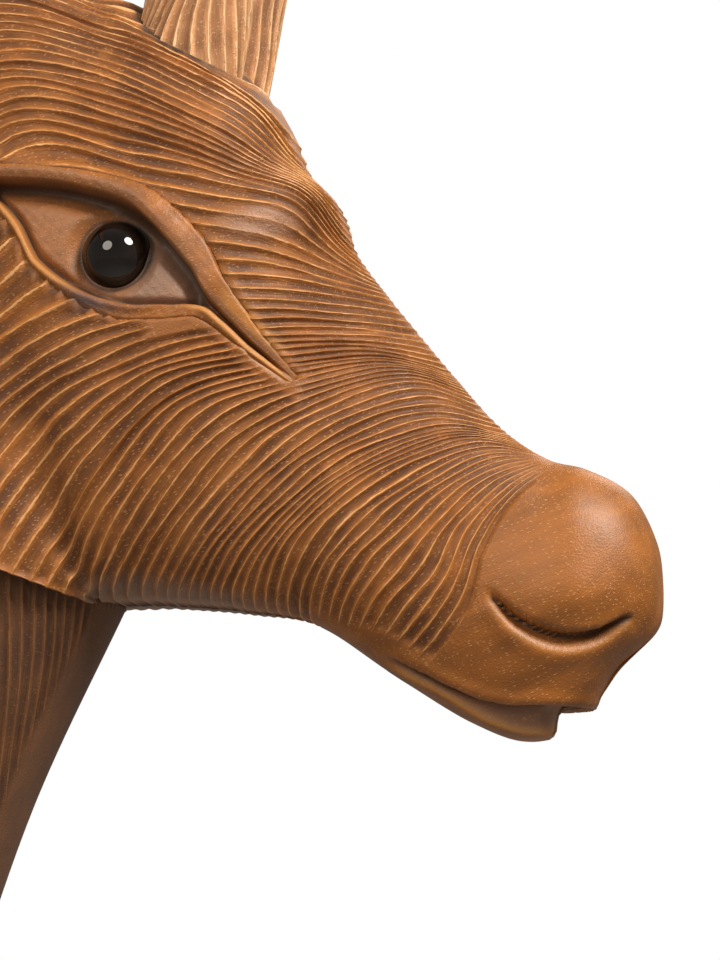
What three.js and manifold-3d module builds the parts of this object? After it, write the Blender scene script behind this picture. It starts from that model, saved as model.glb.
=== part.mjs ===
// A standing carved wooden giraffe, built from separate blocks that are pegged and glued together.
// Millimetres, +X forward (the way it faces), +Y its left, +Z up. The feet stand on z = 0.
import * as THREE from 'three';
import { ParametricGeometry } from 'three/addons/geometries/ParametricGeometry.js';
import { mergeVertices } from 'three/addons/utils/BufferGeometryUtils.js';
import Module from 'manifold-3d';

const wasm = await Module();
wasm.setup();

// ---------------------------------------------------------------- driving dimensions
const HEAD_X = 636;          // head datum: midway along the face, on the middle plane
const HEAD_Z = 1770;
const GLUE_GAP = 0.3;        // clearance between any two pieces
const EYE_RADIUS = 12;
const EYE = { x: -73, y: 41, z: 70.5 };          // ball centre, from the head datum
const EYE_RECESS = { y: 51, long: 36, deep: 8, tall: 17, droop: 0.49 };
const HORN_TENON = { radius: 9, length: 26, overlap: 12 };
const HORN = { root: [-59, 17, 128], tip: [-31, 25, 276], flatten: 0.62 };  // from the head datum
const EAR = { root: [-128, 34, 150], reach: 128, thickness: 6, cup: 11 };
const EAR_TENON = { radius: 6, length: 18, overlap: 14 };
const NECK = { halfDepth: 63, depthGain: 39, halfWidth: 40, widthGain: 38, footPull: 190, headPull: 240 };
const BODY_DOWEL = { radius: 22, length: 160 };
const HEAD_DOWEL = { radius: 13, length: 110 };
const LEG_DOWEL = { radius: 13, length: 90 };
const LEG_TOP = 935;
const FRONT_LEG_X = 172;
const BACK_LEG_X = -178;
const LEG_Y = 60;

// ---------------------------------------------------------------- general helpers
const place = (x, y, z) => new THREE.Vector3(x, y, z);
const mix = (a, b, t) => a + (b - a) * t;

// A smooth curve through one value per station, read at any station number.
function smooth(values) {
  const last = values.length - 1;
  const curve = new THREE.CatmullRomCurve3(values.map((v) => place(v, 0, 0)), false, 'catmullrom', 0.5);
  return (station) => curve.getPoint(THREE.MathUtils.clamp(station / last, 0, 1)).x;
}

// Drops what the cutting library does not need and welds the seam and the end points.
function weld(geometry) {
  geometry.deleteAttribute('normal');
  geometry.deleteAttribute('uv');
  const merged = mergeVertices(geometry, 1e-3);
  const kept = [];
  const index = merged.index.array;
  for (let i = 0; i < index.length; i += 3) {
    const [a, b, c] = [index[i], index[i + 1], index[i + 2]];
    if (a !== b && b !== c && a !== c) kept.push(a, b, c);
  }
  merged.setIndex(kept);
  return merged;
}

function enclosedVolume(geometry) {
  const at = geometry.attributes.position;
  const index = geometry.index.array;
  let volume = 0;
  const [a, b, c] = [place(0, 0, 0), place(0, 0, 0), place(0, 0, 0)];
  for (let i = 0; i < index.length; i += 3) {
    a.fromBufferAttribute(at, index[i]);
    b.fromBufferAttribute(at, index[i + 1]);
    c.fromBufferAttribute(at, index[i + 2]);
    volume += a.dot(b.cross(c)) / 6;
  }
  return volume;
}

// A closed body as a solid that can be cut. Faces are turned outward first.
function solid(geometry) {
  const body = weld(geometry);
  if (enclosedVolume(body) < 0) {
    const index = body.index.array;
    for (let i = 0; i < index.length; i += 3) [index[i], index[i + 1]] = [index[i + 1], index[i]];
  }
  return new wasm.Manifold(new wasm.Mesh({
    numProp: 3,
    vertProperties: new Float32Array(body.attributes.position.array),
    triVerts: new Uint32Array(body.index.array),
  }));
}

function geometryOf(cut) {
  const mesh = cut.getMesh();
  const geometry = new THREE.BufferGeometry();
  geometry.setAttribute('position', new THREE.BufferAttribute(new Float32Array(mesh.vertProperties), 3));
  geometry.setIndex(Array.from(mesh.triVerts));
  return geometry;
}

// Closed rings joined one after another. ring(row, turn) gives a point, turn running 0..1 round
// the ring. The first and last rings may be flat faces: their middle point closes them.
function loft(rows, around, ring, flatStart, flatEnd) {
  const centre = (row) => ring(row, 0).lerp(ring(row, 0.5), 0.5);
  const stops = [];
  if (flatStart) stops.push(() => centre(rows[0]));
  rows.forEach((row) => stops.push((turn) => ring(row, turn)));
  if (flatEnd) stops.push(() => centre(rows[rows.length - 1]));
  const sheet = (u, v, target) => {
    const stop = Math.round(u * (stops.length - 1));
    const turn = Math.round(v * around) % around;
    target.copy(stops[stop](turn / around));
  };
  return solid(new ParametricGeometry(sheet, stops.length - 1, around));
}

// Body whose sections fan from a top line to a bottom line in the middle plane. Each station has
// top [x, z], bottom [x, z], half width, where it is widest (0 top .. 1 bottom), and how blunt
// the crest and the keel are (under 1 blunt, over 1 pointed).
function fanShape(stations) {
  const read = (pick) => smooth(stations.map(pick));
  const topX = read((s) => s.top[0]);
  const topZ = read((s) => s.top[1]);
  const bottomX = read((s) => s.bottom[0]);
  const bottomZ = read((s) => s.bottom[1]);
  const half = read((s) => s.half);
  const widest = read((s) => s.widest);
  const crest = read((s) => s.crest);
  const keel = read((s) => s.keel);
  return (station, turn) => {
    const angle = turn * 2 * Math.PI;
    const upper = Math.cos(angle) >= 0;
    const swing = Math.abs(Math.sin(angle));
    const down = upper
      ? widest(station) * (1 - Math.cos(angle))
      : widest(station) - (1 - widest(station)) * Math.cos(angle);
    const blunt = upper ? crest(station) : keel(station);
    const out = Math.max(half(station), 0) * Math.pow(swing, blunt) * Math.sign(Math.sin(angle));
    return place(
      mix(topX(station), bottomX(station), down),
      Math.abs(swing) < 1e-9 ? 0 : out,
      mix(topZ(station), bottomZ(station), down),
    );
  };
}

// Rod of changing oval section along a curve. size(t) gives [half across, half along the side
// direction] in the plane square to the curve.
function rod(curve, steps, around, size, side, flatStart, flatEnd) {
  const rows = Array.from({ length: steps + 1 }, (_, i) => i / steps);
  const ring = (t, turn) => {
    const forward = curve.getTangent(t);
    const across = side.clone().addScaledVector(forward, -side.dot(forward)).normalize();
    const other = forward.clone().cross(across);
    const [a, b] = size(t);
    const angle = turn * 2 * Math.PI;
    return curve.getPoint(t)
      .addScaledVector(across, a * Math.cos(angle))
      .addScaledVector(other, b * Math.sin(angle));
  };
  return loft(rows, around, ring, flatStart, flatEnd);
}

function pegBetween(from, to, radius, around = 14) {
  const line = new THREE.LineCurve3(from, to);
  return rod(line, 1, around, () => [radius, radius], place(0, 1, 0), true, true);
}

const mirrored = (body) => body.mirror([0, 1, 0]);

// ---------------------------------------------------------------- head
// Stations run from the nose tip back to the flat face that sits on the neck. The eye, brow and
// cheek make it widest two fifths of the way down, behind the long narrow nose.
const HEAD_STATIONS = [
  { top: [100.5, -38], bottom: [100.5, -42], half: 0, widest: 0.5, crest: 1, keel: 1 },
  { top: [99, -24], bottom: [99, -52], half: 12, widest: 0.5, crest: 1, keel: 1 },
  { top: [91, -8], bottom: [90, -62], half: 21, widest: 0.5, crest: 0.95, keel: 0.9 },
  { top: [77, 0.5], bottom: [76, -78], half: 27, widest: 0.47, crest: 0.9, keel: 0.9 },
  { top: [63, 5], bottom: [58, -88], half: 28.5, widest: 0.48, crest: 1, keel: 0.85 },
  { top: [46, 18], bottom: [38, -82], half: 28.5, widest: 0.55, crest: 1.1, keel: 0.8 },
  { top: [22, 47], bottom: [12, -66], half: 31, widest: 0.6, crest: 1.1, keel: 0.75 },
  { top: [2, 73], bottom: [-14, -49], half: 36, widest: 0.6, crest: 1.05, keel: 0.75 },
  { top: [-13, 95], bottom: [-38, -44], half: 43, widest: 0.45, crest: 0.85, keel: 0.5 },
  { top: [-26, 116], bottom: [-55, -42], half: 48, widest: 0.38, crest: 0.75, keel: 0.5 },
  { top: [-40, 141], bottom: [-68, -41], half: 50, widest: 0.4, crest: 0.7, keel: 0.5 },
  { top: [-56, 157], bottom: [-76, -41], half: 50, widest: 0.44, crest: 0.68, keel: 0.5 },
  { top: [-84, 170], bottom: [-81, -41], half: 50, widest: 0.48, crest: 0.7, keel: 0.5 },
  { top: [-118, 189], bottom: [-84, -41], half: 49, widest: 0.5, crest: 0.75, keel: 0.5 },
  { top: [-152, 197], bottom: [-85, -41], half: 47, widest: 0.5, crest: 0.8, keel: 0.5 },
  { top: [-176, 165], bottom: [-86, -41], half: 46, widest: 0.5, crest: 0.8, keel: 0.5 },
  { top: [-192, 90], bottom: [-86, -42], half: 46, widest: 0.5, crest: 0.85, keel: 0.5 },
  { top: [-210, 5], bottom: [-87, -42], half: 46, widest: 0.5, crest: 0.9, keel: 0.6 },
];
const NOSE_ROWS = [0, 0.25, 0.6, 1, 1.5, 2, 2.5, 3, 3.5, 4, 4.5];

function onHead([x, y, z]) {
  return place(HEAD_X + x, y, HEAD_Z + z);
}

function buildHead(fittings) {
  const shape = fanShape(HEAD_STATIONS);
  const last = HEAD_STATIONS.length - 1;
  const rows = [...NOSE_ROWS];
  for (let station = 5; station <= last; station += 0.5) rows.push(station);
  const skin = (station, turn) => shape(station, turn).add(onHead([0, 0, 0]));
  let body = loft(rows, 28, skin, false, true);

  // A round groove that follows the skin: stops are [station, turn], mirrored on the other side.
  const groove = (stops, radius, bothSides) => {
    const path = new THREE.CatmullRomCurve3(stops.map(([s, t]) => skin(s, t)));
    const cutter = rod(path, 12, 6, (t) => {
      const r = radius * Math.max(Math.sin(Math.PI * mix(0.06, 0.94, t)), 0.3);
      return [r, r];
    }, place(0.3, 0.2, 1), true, true);
    body = body.subtract(cutter);
    if (bothSides) body = body.subtract(mirrored(cutter));
  };
  const mouth = [[6.2, 0.37], [5.2, 0.39], [4.2, 0.41], [3.4, 0.44]];
  const mouthLine = [...mouth, [3.05, 0.5], ...mouth.map(([s, t]) => [s, 1 - t]).reverse()];
  groove(mouthLine, 2.4, false);
  groove([[4.3, 0.26], [3.6, 0.3], [2.8, 0.32], [2, 0.31]], 3.6, true);

  const recess = eyeRecess();
  for (const fitting of [recess, mirrored(recess), ...fittings]) body = body.subtract(fitting);
  return body;
}

// ---------------------------------------------------------------- glass eyes
// The almond hollow under the brow, its front corner lower than its back one.
function eyeRecess() {
  const hollow = new THREE.SphereGeometry(1, 20, 12);
  hollow.scale(EYE_RECESS.long, EYE_RECESS.deep, EYE_RECESS.tall);
  hollow.rotateY(EYE_RECESS.droop);
  hollow.translate(HEAD_X + EYE.x, EYE_RECESS.y, HEAD_Z + EYE.z);
  return solid(hollow);
}

function eyeBall(side, grow = 0) {
  const ball = new THREE.SphereGeometry(EYE_RADIUS + grow, 18, 10);
  ball.translate(HEAD_X + EYE.x, side * EYE.y, HEAD_Z + EYE.z);
  return solid(ball);
}

// ---------------------------------------------------------------- horns
// A thick stem let into the crown by a round tenon, with a wider rounded knob on top.
function horn(grow = 0) {
  const root = onHead(HORN.root);
  const tip = onHead(HORN.tip);
  const profile = smooth([20, 19.5, 19, 18.5, 18.5, 21, 23, 20.5, 14, 1]);
  const size = (t) => {
    const r = profile(t * 9) + grow;
    return [r * HORN.flatten + 2, r];
  };
  const stem = rod(new THREE.LineCurve3(root, tip), 12, 16, size, place(0, 1, 0), true, true);
  const down = root.clone().sub(tip).normalize();
  const tenonEnd = root.clone().addScaledVector(down, HORN_TENON.length + grow);
  const tenonStart = root.clone().addScaledVector(down, -HORN_TENON.overlap);
  return stem.add(pegBetween(tenonStart, tenonEnd, HORN_TENON.radius + grow));
}

// ---------------------------------------------------------------- ears
// A leaf-shaped cup reaching out sideways and a little up and back, hollow side forward, with a
// round tenon let into the side of the head.
function ear(grow = 0) {
  const root = onHead(EAR.root);
  const reach = place(-0.22, 0.9, 0.3).normalize();
  const hollow = place(1, 0.25, -0.1);
  hollow.addScaledVector(reach, -hollow.dot(reach)).normalize();
  const wide = reach.clone().cross(hollow);
  const breadth = smooth([8, 13, 21, 25, 24, 18, 9, 0.6]);
  const ring = (t, turn) => {
    const angle = turn * 2 * Math.PI;
    const half = breadth(t * 7) + grow;
    const thick = EAR.thickness * (1 - 0.65 * t) * Math.min(half / 6, 1) + grow;
    const sideways = Math.cos(angle);
    const curl = EAR.cup * (sideways * sideways - 0.4) * Math.sin(Math.PI * Math.min(t * 1.1, 1));
    return root.clone()
      .addScaledVector(reach, EAR.reach * t)
      .addScaledVector(wide, half * sideways)
      .addScaledVector(hollow, thick * Math.sin(angle) + curl);
  };
  const rows = Array.from({ length: 11 }, (_, i) => i / 10);
  const blade = loft(rows, 16, ring, true, true);
  const tenonEnd = root.clone().addScaledVector(reach, -EAR_TENON.length - grow);
  const tenonStart = root.clone().addScaledVector(reach, EAR_TENON.overlap);
  return blade.add(pegBetween(tenonEnd, tenonStart, EAR_TENON.radius + grow, 16));
}

// ---------------------------------------------------------------- neck
const NECK_FOOT = { top: [128, 1198], bottom: [306, 1095] };
const headEnd = HEAD_STATIONS[HEAD_STATIONS.length - 1];
const NECK_HEAD = {
  top: [HEAD_X + headEnd.top[0], HEAD_Z + headEnd.top[1]],
  bottom: [HEAD_X + headEnd.bottom[0], HEAD_Z + headEnd.bottom[1]],
};
const middle = (end) => new THREE.Vector2(...end.top).lerp(new THREE.Vector2(...end.bottom), 0.5);
// Upward direction square to a joint face.
const squareTo = (end) => new THREE.Vector2(...end.bottom).sub(new THREE.Vector2(...end.top))
  .normalize().rotateAround(new THREE.Vector2(), Math.PI / 2);

function buildNeck(fittings) {
  const foot = middle(NECK_FOOT).addScaledVector(squareTo(NECK_FOOT), GLUE_GAP);
  const crown = middle(NECK_HEAD).addScaledVector(squareTo(NECK_HEAD), -GLUE_GAP);
  const spine = new THREE.CubicBezierCurve(
    foot,
    foot.clone().addScaledVector(squareTo(NECK_FOOT), NECK.footPull),
    crown.clone().addScaledVector(squareTo(NECK_HEAD), -NECK.headPull),
    crown,
  );
  const length = 10;
  const stations = Array.from({ length: length + 1 }, (_, i) => {
    const t = i / length;
    const at = spine.getPoint(t);
    const back = spine.getTangent(t).rotateAround(new THREE.Vector2(), Math.PI / 2);
    const depth = NECK.halfDepth + NECK.depthGain * Math.pow(1 - t, 1.5);
    return {
      top: at.clone().addScaledVector(back, depth).toArray(),
      bottom: at.clone().addScaledVector(back, -depth).toArray(),
      half: NECK.halfWidth + NECK.widthGain * Math.pow(1 - t, 1.6),
      widest: 0.52,
      crest: 0.85,
      keel: 0.95,
    };
  });
  const rows = Array.from({ length: length + 1 }, (_, i) => i);
  let body = loft(rows, 24, fanShape(stations), true, true);
  for (const fitting of fittings) body = body.subtract(fitting);
  return body;
}

// ---------------------------------------------------------------- torso
// Stations run from the rump to the sloping flat face that the neck stands on.
const TORSO_STATIONS = [
  { top: [-282, 992], bottom: [-282, 984], half: 0, widest: 0.5, crest: 1, keel: 1 },
  { top: [-268, 1032], bottom: [-270, 932], half: 60, widest: 0.5, crest: 1, keel: 1 },
  { top: [-222, 1068], bottom: [-228, 878], half: 95, widest: 0.5, crest: 0.9, keel: 0.9 },
  { top: [-140, 1086], bottom: [-140, 838], half: 116, widest: 0.52, crest: 0.9, keel: 0.85 },
  { top: [-55, 1099], bottom: [-30, 824], half: 124, widest: 0.54, crest: 0.95, keel: 0.85 },
  { top: [15, 1117], bottom: [80, 828], half: 123, widest: 0.54, crest: 0.95, keel: 0.85 },
  { top: [68, 1140], bottom: [180, 862], half: 116, widest: 0.54, crest: 0.9, keel: 0.85 },
  { top: [102, 1162], bottom: [255, 922], half: 106, widest: 0.53, crest: 0.85, keel: 0.9 },
  { top: [120, 1182], bottom: [295, 1005], half: 92, widest: 0.52, crest: 0.85, keel: 0.95 },
  { top: NECK_FOOT.top, bottom: NECK_FOOT.bottom, half: 80, widest: 0.52, crest: 0.85, keel: 0.95 },
];

function buildTorso(fittings) {
  const last = TORSO_STATIONS.length - 1;
  const rows = [0, 0.25, 0.6];
  for (let station = 1; station <= last; station += 0.5) rows.push(station);
  let body = loft(rows, 24, fanShape(TORSO_STATIONS), false, true);
  for (const fitting of fittings) body = body.subtract(fitting);
  return body;
}

// ---------------------------------------------------------------- legs
// Shoulder or thigh at the top, knee or hock half way, fetlock and flat hoof at the bottom.
// Each level is [height, centre shift along X, half fore-and-aft, half across].
const FRONT_LEVELS = [
  [0, 8, 37, 28], [38, 4, 31, 25], [66, 0, 22, 19], [104, 0, 25, 21], [150, 0, 20, 17],
  [290, 0, 20.5, 17.5], [400, 1, 27, 23], [450, 3, 32, 26], [500, 1, 29, 24], [600, -2, 32, 26],
  [720, -5, 42, 32], [820, -8, 54, 38], [LEG_TOP, -8, 58, 41],
];
const BACK_LEVELS = [
  [0, 10, 37, 28], [38, 6, 31, 25], [66, 0, 22, 19], [104, -3, 25, 21], [150, -6, 21, 17],
  [290, -14, 22, 18], [400, -22, 28, 22], [450, -24, 33, 24], [500, -17, 32, 24],
  [600, -4, 38, 28], [720, 5, 52, 34], [820, 8, 64, 40], [LEG_TOP, 8, 66, 42],
];

function leg(levels, x, grow = 0) {
  const read = (column) => smooth(levels.map((level) => level[column]));
  const [height, shift, along, across] = [0, 1, 2, 3].map(read);
  const last = levels.length - 1;
  const rows = Array.from({ length: 2 * last + 1 }, (_, i) => i / 2);
  const ring = (row, turn) => {
    const angle = turn * 2 * Math.PI;
    const lift = row === last ? grow : 0;
    return place(
      x + shift(row) + (along(row) + grow) * Math.cos(angle),
      LEG_Y + (across(row) + grow) * Math.sin(angle) + mix(12, 0, height(row) / LEG_TOP),
      height(row) + lift,
    );
  };
  return loft(rows, 14, ring, true, true);
}

// ---------------------------------------------------------------- tail
// A round tenon in the rump, a thin hanging stem and a long tuft.
function tail(grow = 0) {
  const path = new THREE.CatmullRomCurve3([
    place(-246, 0, 1034), place(-282, 0, 1026), place(-305, 0, 985), place(-311, 0, 900),
    place(-309, 0, 790), place(-303, 0, 690), place(-300, 0, 610), place(-298, 0, 560),
  ]);
  const radius = smooth([10, 10.5, 10.5, 9.5, 8.5, 7.5, 8, 14, 17, 14, 3]);
  const size = (t) => [radius(t * 10) + grow, radius(t * 10) + grow];
  return rod(path, 18, 12, size, place(0, 1, 0), true, true);
}

// ---------------------------------------------------------------- dowels
function dowelAcross(end, { radius, length }, grow = 0) {
  const at = middle(end);
  const up = squareTo(end);
  const from = at.clone().addScaledVector(up, -length / 2 - grow);
  const to = at.clone().addScaledVector(up, length / 2 + grow);
  return pegBetween(place(from.x, 0, from.y), place(to.x, 0, to.y), radius + grow);
}

function legDowel(x, grow = 0) {
  const reach = LEG_DOWEL.length / 2 + grow;
  const low = place(x, LEG_Y, LEG_TOP - reach);
  const high = place(x, LEG_Y, LEG_TOP + reach);
  return pegBetween(low, high, LEG_DOWEL.radius + grow);
}

// ---------------------------------------------------------------- assembly
const WOOD = '#9c6138';
const WARM_WOOD = '#a86a3d';
const AMBER_WOOD = '#bd7a3e';
const PALE_PEG = '#c9a577';
const BLACK_GLASS = '#0a0809';

const statue = new THREE.Group();
statue.name = 'carved_giraffe';

function show(name, body, color, roughness, metalness = 0) {
  const material = new THREE.MeshStandardMaterial({ color, roughness, metalness });
  material.name = name;
  const mesh = new THREE.Mesh(geometryOf(body), material);
  mesh.name = name;
  statue.add(mesh);
}

const leftHorn = horn();
const leftEar = ear();
const frontLeg = leg(FRONT_LEVELS, FRONT_LEG_X);
const backLeg = leg(BACK_LEVELS, BACK_LEG_X);
const bothSides = (body) => [body, mirrored(body)];

const headFittings = [
  eyeBall(1, GLUE_GAP), eyeBall(-1, GLUE_GAP),
  ...bothSides(horn(GLUE_GAP)),
  ...bothSides(ear(GLUE_GAP)),
  dowelAcross(NECK_HEAD, HEAD_DOWEL, GLUE_GAP),
];
show('head', buildHead(headFittings), WARM_WOOD, 0.5);
show('eye_left', eyeBall(1), BLACK_GLASS, 0.05);
show('eye_right', eyeBall(-1), BLACK_GLASS, 0.05);
show('horn_left', leftHorn, AMBER_WOOD, 0.35);
show('horn_right', mirrored(leftHorn), AMBER_WOOD, 0.35);
show('ear_left', leftEar, WARM_WOOD, 0.5);
show('ear_right', mirrored(leftEar), WARM_WOOD, 0.5);
show('neck', buildNeck([
  dowelAcross(NECK_HEAD, HEAD_DOWEL, GLUE_GAP),
  dowelAcross(NECK_FOOT, BODY_DOWEL, GLUE_GAP),
]), WOOD, 0.55);
show('torso', buildTorso([
  dowelAcross(NECK_FOOT, BODY_DOWEL, GLUE_GAP),
  ...bothSides(leg(FRONT_LEVELS, FRONT_LEG_X, GLUE_GAP)),
  ...bothSides(leg(BACK_LEVELS, BACK_LEG_X, GLUE_GAP)),
  ...bothSides(legDowel(FRONT_LEG_X, GLUE_GAP)),
  ...bothSides(legDowel(BACK_LEG_X, GLUE_GAP)),
  tail(GLUE_GAP),
]), WOOD, 0.55);
const frontBored = frontLeg.subtract(legDowel(FRONT_LEG_X, GLUE_GAP));
const backBored = backLeg.subtract(legDowel(BACK_LEG_X, GLUE_GAP));
show('leg_front_left', frontBored, WOOD, 0.55);
show('leg_front_right', mirrored(frontBored), WOOD, 0.55);
show('leg_back_left', backBored, WOOD, 0.55);
show('leg_back_right', mirrored(backBored), WOOD, 0.55);
show('tail', tail(), WOOD, 0.55);
show('dowel_head', dowelAcross(NECK_HEAD, HEAD_DOWEL), PALE_PEG, 0.7);
show('dowel_neck', dowelAcross(NECK_FOOT, BODY_DOWEL), PALE_PEG, 0.7);
show('dowel_front_left', legDowel(FRONT_LEG_X), PALE_PEG, 0.7);
show('dowel_front_right', mirrored(legDowel(FRONT_LEG_X)), PALE_PEG, 0.7);
show('dowel_back_left', legDowel(BACK_LEG_X), PALE_PEG, 0.7);
show('dowel_back_right', mirrored(legDowel(BACK_LEG_X)), PALE_PEG, 0.7);

// The origin is the middle of the footprint of the whole statue.
const box = new THREE.Box3().setFromObject(statue);
const shiftX = -(box.min.x + box.max.x) / 2;
statue.children.forEach((mesh) => mesh.geometry.translate(shiftX, 0, 0));

export default statue;
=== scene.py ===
# %% [markdown]
# # A carved wooden giraffe
# The statue stands about two metres tall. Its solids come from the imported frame: head, neck, torso,
# four legs, tail, ears, horns, glass eyes and hidden dowels. This notebook gives each of them the
# surface a carver would leave, with rows of gouge strokes that follow the lie of the coat.

# %% Load the frame
import math

import bpy
import numpy as np
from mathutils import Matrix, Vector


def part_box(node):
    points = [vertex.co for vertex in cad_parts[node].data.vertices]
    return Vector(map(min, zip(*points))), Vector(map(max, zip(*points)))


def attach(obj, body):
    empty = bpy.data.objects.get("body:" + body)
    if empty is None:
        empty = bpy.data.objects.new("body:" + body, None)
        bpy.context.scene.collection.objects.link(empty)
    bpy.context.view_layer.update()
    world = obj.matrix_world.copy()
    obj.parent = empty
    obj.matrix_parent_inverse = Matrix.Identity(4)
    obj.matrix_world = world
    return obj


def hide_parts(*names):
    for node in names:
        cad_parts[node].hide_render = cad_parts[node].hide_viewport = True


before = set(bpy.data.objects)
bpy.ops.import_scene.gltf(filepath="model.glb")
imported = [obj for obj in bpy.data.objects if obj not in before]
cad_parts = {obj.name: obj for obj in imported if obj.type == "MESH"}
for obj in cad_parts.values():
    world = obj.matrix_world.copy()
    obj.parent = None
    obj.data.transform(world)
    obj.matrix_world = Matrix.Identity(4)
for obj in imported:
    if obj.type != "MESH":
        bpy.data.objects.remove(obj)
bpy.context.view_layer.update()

MM = 0.001

# %% [markdown]
# ## Helpers for worked-out surfaces
# Every new piece is a grid of points worked out with whole arrays. A row of stations (a few sizes
# given as lists) is read anywhere between them by a Catmull-Rom curve, the same rule the solids use.

# %% Curves through stations


def read_stations(values, where):
    """Catmull-Rom curve through one value (or vector) per whole station number, read at any."""
    values = np.asarray(values, float)
    padded = np.concatenate([[2 * values[0] - values[1]], values, [2 * values[-1] - values[-2]]])
    where = np.clip(np.asarray(where, float), 0, len(values) - 1)
    cell = np.minimum(where.astype(int), len(values) - 2)
    t = where - cell
    t = t.reshape(t.shape + (1,) * (values.ndim - 1))
    a, b, c, d = (padded[cell + step] for step in range(4))
    cubic = (3 * b - a - 3 * c + d) * t**3
    return 0.5 * (2 * b + (c - a) * t + (2 * a - 5 * b + 4 * c - d) * t**2 + cubic)


def between(knots, values, where):
    """The same curve when the stations sit at uneven positions called knots."""
    number = np.interp(where, knots, np.arange(len(knots)))
    return read_stations(values, number)


def ramp(value, start, end):
    """0 before start, 1 after end, with a smooth S between them."""
    t = np.clip((value - start) / (end - start), 0, 1)
    return t * t * (3 - 2 * t)


def bump(distance, width):
    """A bell: 1 at distance 0, falling to about a third at one width."""
    return np.exp(-((distance / width) ** 2))


def length_along(line):
    """Distance run along a line of points, 0 at the first."""
    return np.concatenate([[0], np.cumsum(np.linalg.norm(np.diff(line, axis=0), axis=1))])


def ripple(u, v, seed, octaves=3):
    """Smooth irregular waves between about -1 and 1: sines of unrelated lengths and directions."""
    draw = np.random.default_rng(seed)
    total = np.zeros(np.broadcast(u, v).shape)
    for level in range(octaves):
        for _ in range(3):
            fu, fv = draw.normal(0, 1.0 + level, 2)
            total = total + np.sin(fu * u + fv * v + draw.uniform(0, 6.28)) / (1 + level)
    return total / (3 * sum(1 / (1 + n) for n in range(octaves))) * 1.8


print("halfway from 0 to 10 the curve reads", read_stations([0, 10], 0.5))


# %% [markdown]
# A piece is a closed skin: rings of points, each ring joined to the next, with both end rings
# gathered into one point. Points that coincide are merged so that the seams and ends are shut.

# %% From a grid of rings to an object


def unit(vectors):
    """Vectors scaled to length one."""
    return vectors / np.maximum(np.linalg.norm(vectors, axis=-1, keepdims=True), 1e-12)


def skin_normals(rings):
    """Outward normals of a closed grid of rings, from differences across and along the rings."""
    around = np.roll(rings, -1, axis=1) - np.roll(rings, 1, axis=1)
    along = np.gradient(rings, axis=0)
    normals = unit(np.cross(around, along))
    centre = rings.mean(axis=1, keepdims=True)
    outward = np.sum(normals * (rings - centre), axis=-1).sum()
    return normals if outward > 0 else -normals


def skin(name, rings, facts, material, node):
    """A closed mesh from rings (rows, around, 3), with one float attribute per entry of facts."""
    rows, around = rings.shape[:2]
    here = np.arange(rows * around).reshape(rows, around)
    nxt = np.roll(here, -1, axis=1)
    quads = np.stack([here[:-1], nxt[:-1], nxt[1:], here[1:]], axis=-1).reshape(-1, 4)
    corners = rings.reshape(-1, 3)[quads]
    facing = np.cross(corners[:, 2] - corners[:, 0], corners[:, 3] - corners[:, 1])
    middle = rings.mean(axis=1)[quads[:, 0] // around]
    if np.sum(facing * (corners.mean(axis=1) - middle)) < 0:
        quads = quads[:, ::-1]
    mesh = bpy.data.meshes.new(name)
    mesh.vertices.add(rows * around)
    mesh.vertices.foreach_set("co", rings.reshape(-1))
    mesh.loops.add(quads.size)
    mesh.loops.foreach_set("vertex_index", np.ascontiguousarray(quads.reshape(-1)))
    mesh.polygons.add(len(quads))
    mesh.polygons.foreach_set("loop_start", np.arange(0, quads.size, 4))
    mesh.polygons.foreach_set("use_smooth", np.ones(len(quads), bool))
    mesh.update(calc_edges=True)
    for label, values in facts.items():
        layer = mesh.attributes.new(label, "FLOAT", "POINT")
        layer.data.foreach_set("value", np.broadcast_to(values, (rows, around)).reshape(-1))
    piece = bpy.data.objects.new(name, mesh)
    bpy.context.scene.collection.objects.link(piece)
    close_up(mesh)
    mesh.materials.append(material)
    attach(piece, "root")
    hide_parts(node)
    print(name, len(mesh.vertices), "points", len(mesh.polygons), "faces")
    return piece


def close_up(mesh):
    """Merges coinciding points, which shuts seams and gathered ends, and drops empty faces."""
    import bmesh
    work = bmesh.new()
    work.from_mesh(mesh)
    bmesh.ops.remove_doubles(work, verts=work.verts, dist=1e-6)
    bmesh.ops.dissolve_degenerate(work, edges=work.edges, dist=1e-7)
    work.to_mesh(mesh)
    work.free()


# %% [markdown]
# ## Wood, seen close
# The wood is a warm brown hardwood, oiled. Three shared patterns make it: long grain with pores
# that show as dashes along the log and as dots on its end, gouge strokes drawn from the piece's
# own stroke numbers so that they stay sharp at any distance, and patches of handling and age.

# %% Small helpers for shader groups


def new_group(name, inputs, outputs):
    """An empty shader group with the named inputs {name: (kind, default)} and outputs."""
    group = bpy.data.node_groups.new(name, "ShaderNodeTree")
    kinds = {"value": "NodeSocketFloat", "colour": "NodeSocketColor", "vector": "NodeSocketVector"}
    for label, (kind, default) in inputs.items():
        socket = group.interface.new_socket(label, in_out="INPUT", socket_type=kinds[kind])
        if default is not None:
            socket.default_value = default
    for label, kind in outputs.items():
        group.interface.new_socket(label, in_out="OUTPUT", socket_type=kinds[kind])
    return group, group.nodes.new("NodeGroupInput"), group.nodes.new("NodeGroupOutput")


def feed(tree, socket, source):
    """Links a socket from another socket, or sets it to a plain value."""
    if isinstance(source, bpy.types.NodeSocket):
        tree.links.new(source, socket)
    else:
        socket.default_value = source


def maths(tree, operation, first, second=0.0, clamp=False):
    node = tree.nodes.new("ShaderNodeMath")
    node.operation = operation
    node.use_clamp = clamp
    feed(tree, node.inputs[0], first)
    feed(tree, node.inputs[1], second)
    return node.outputs[0]


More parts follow.
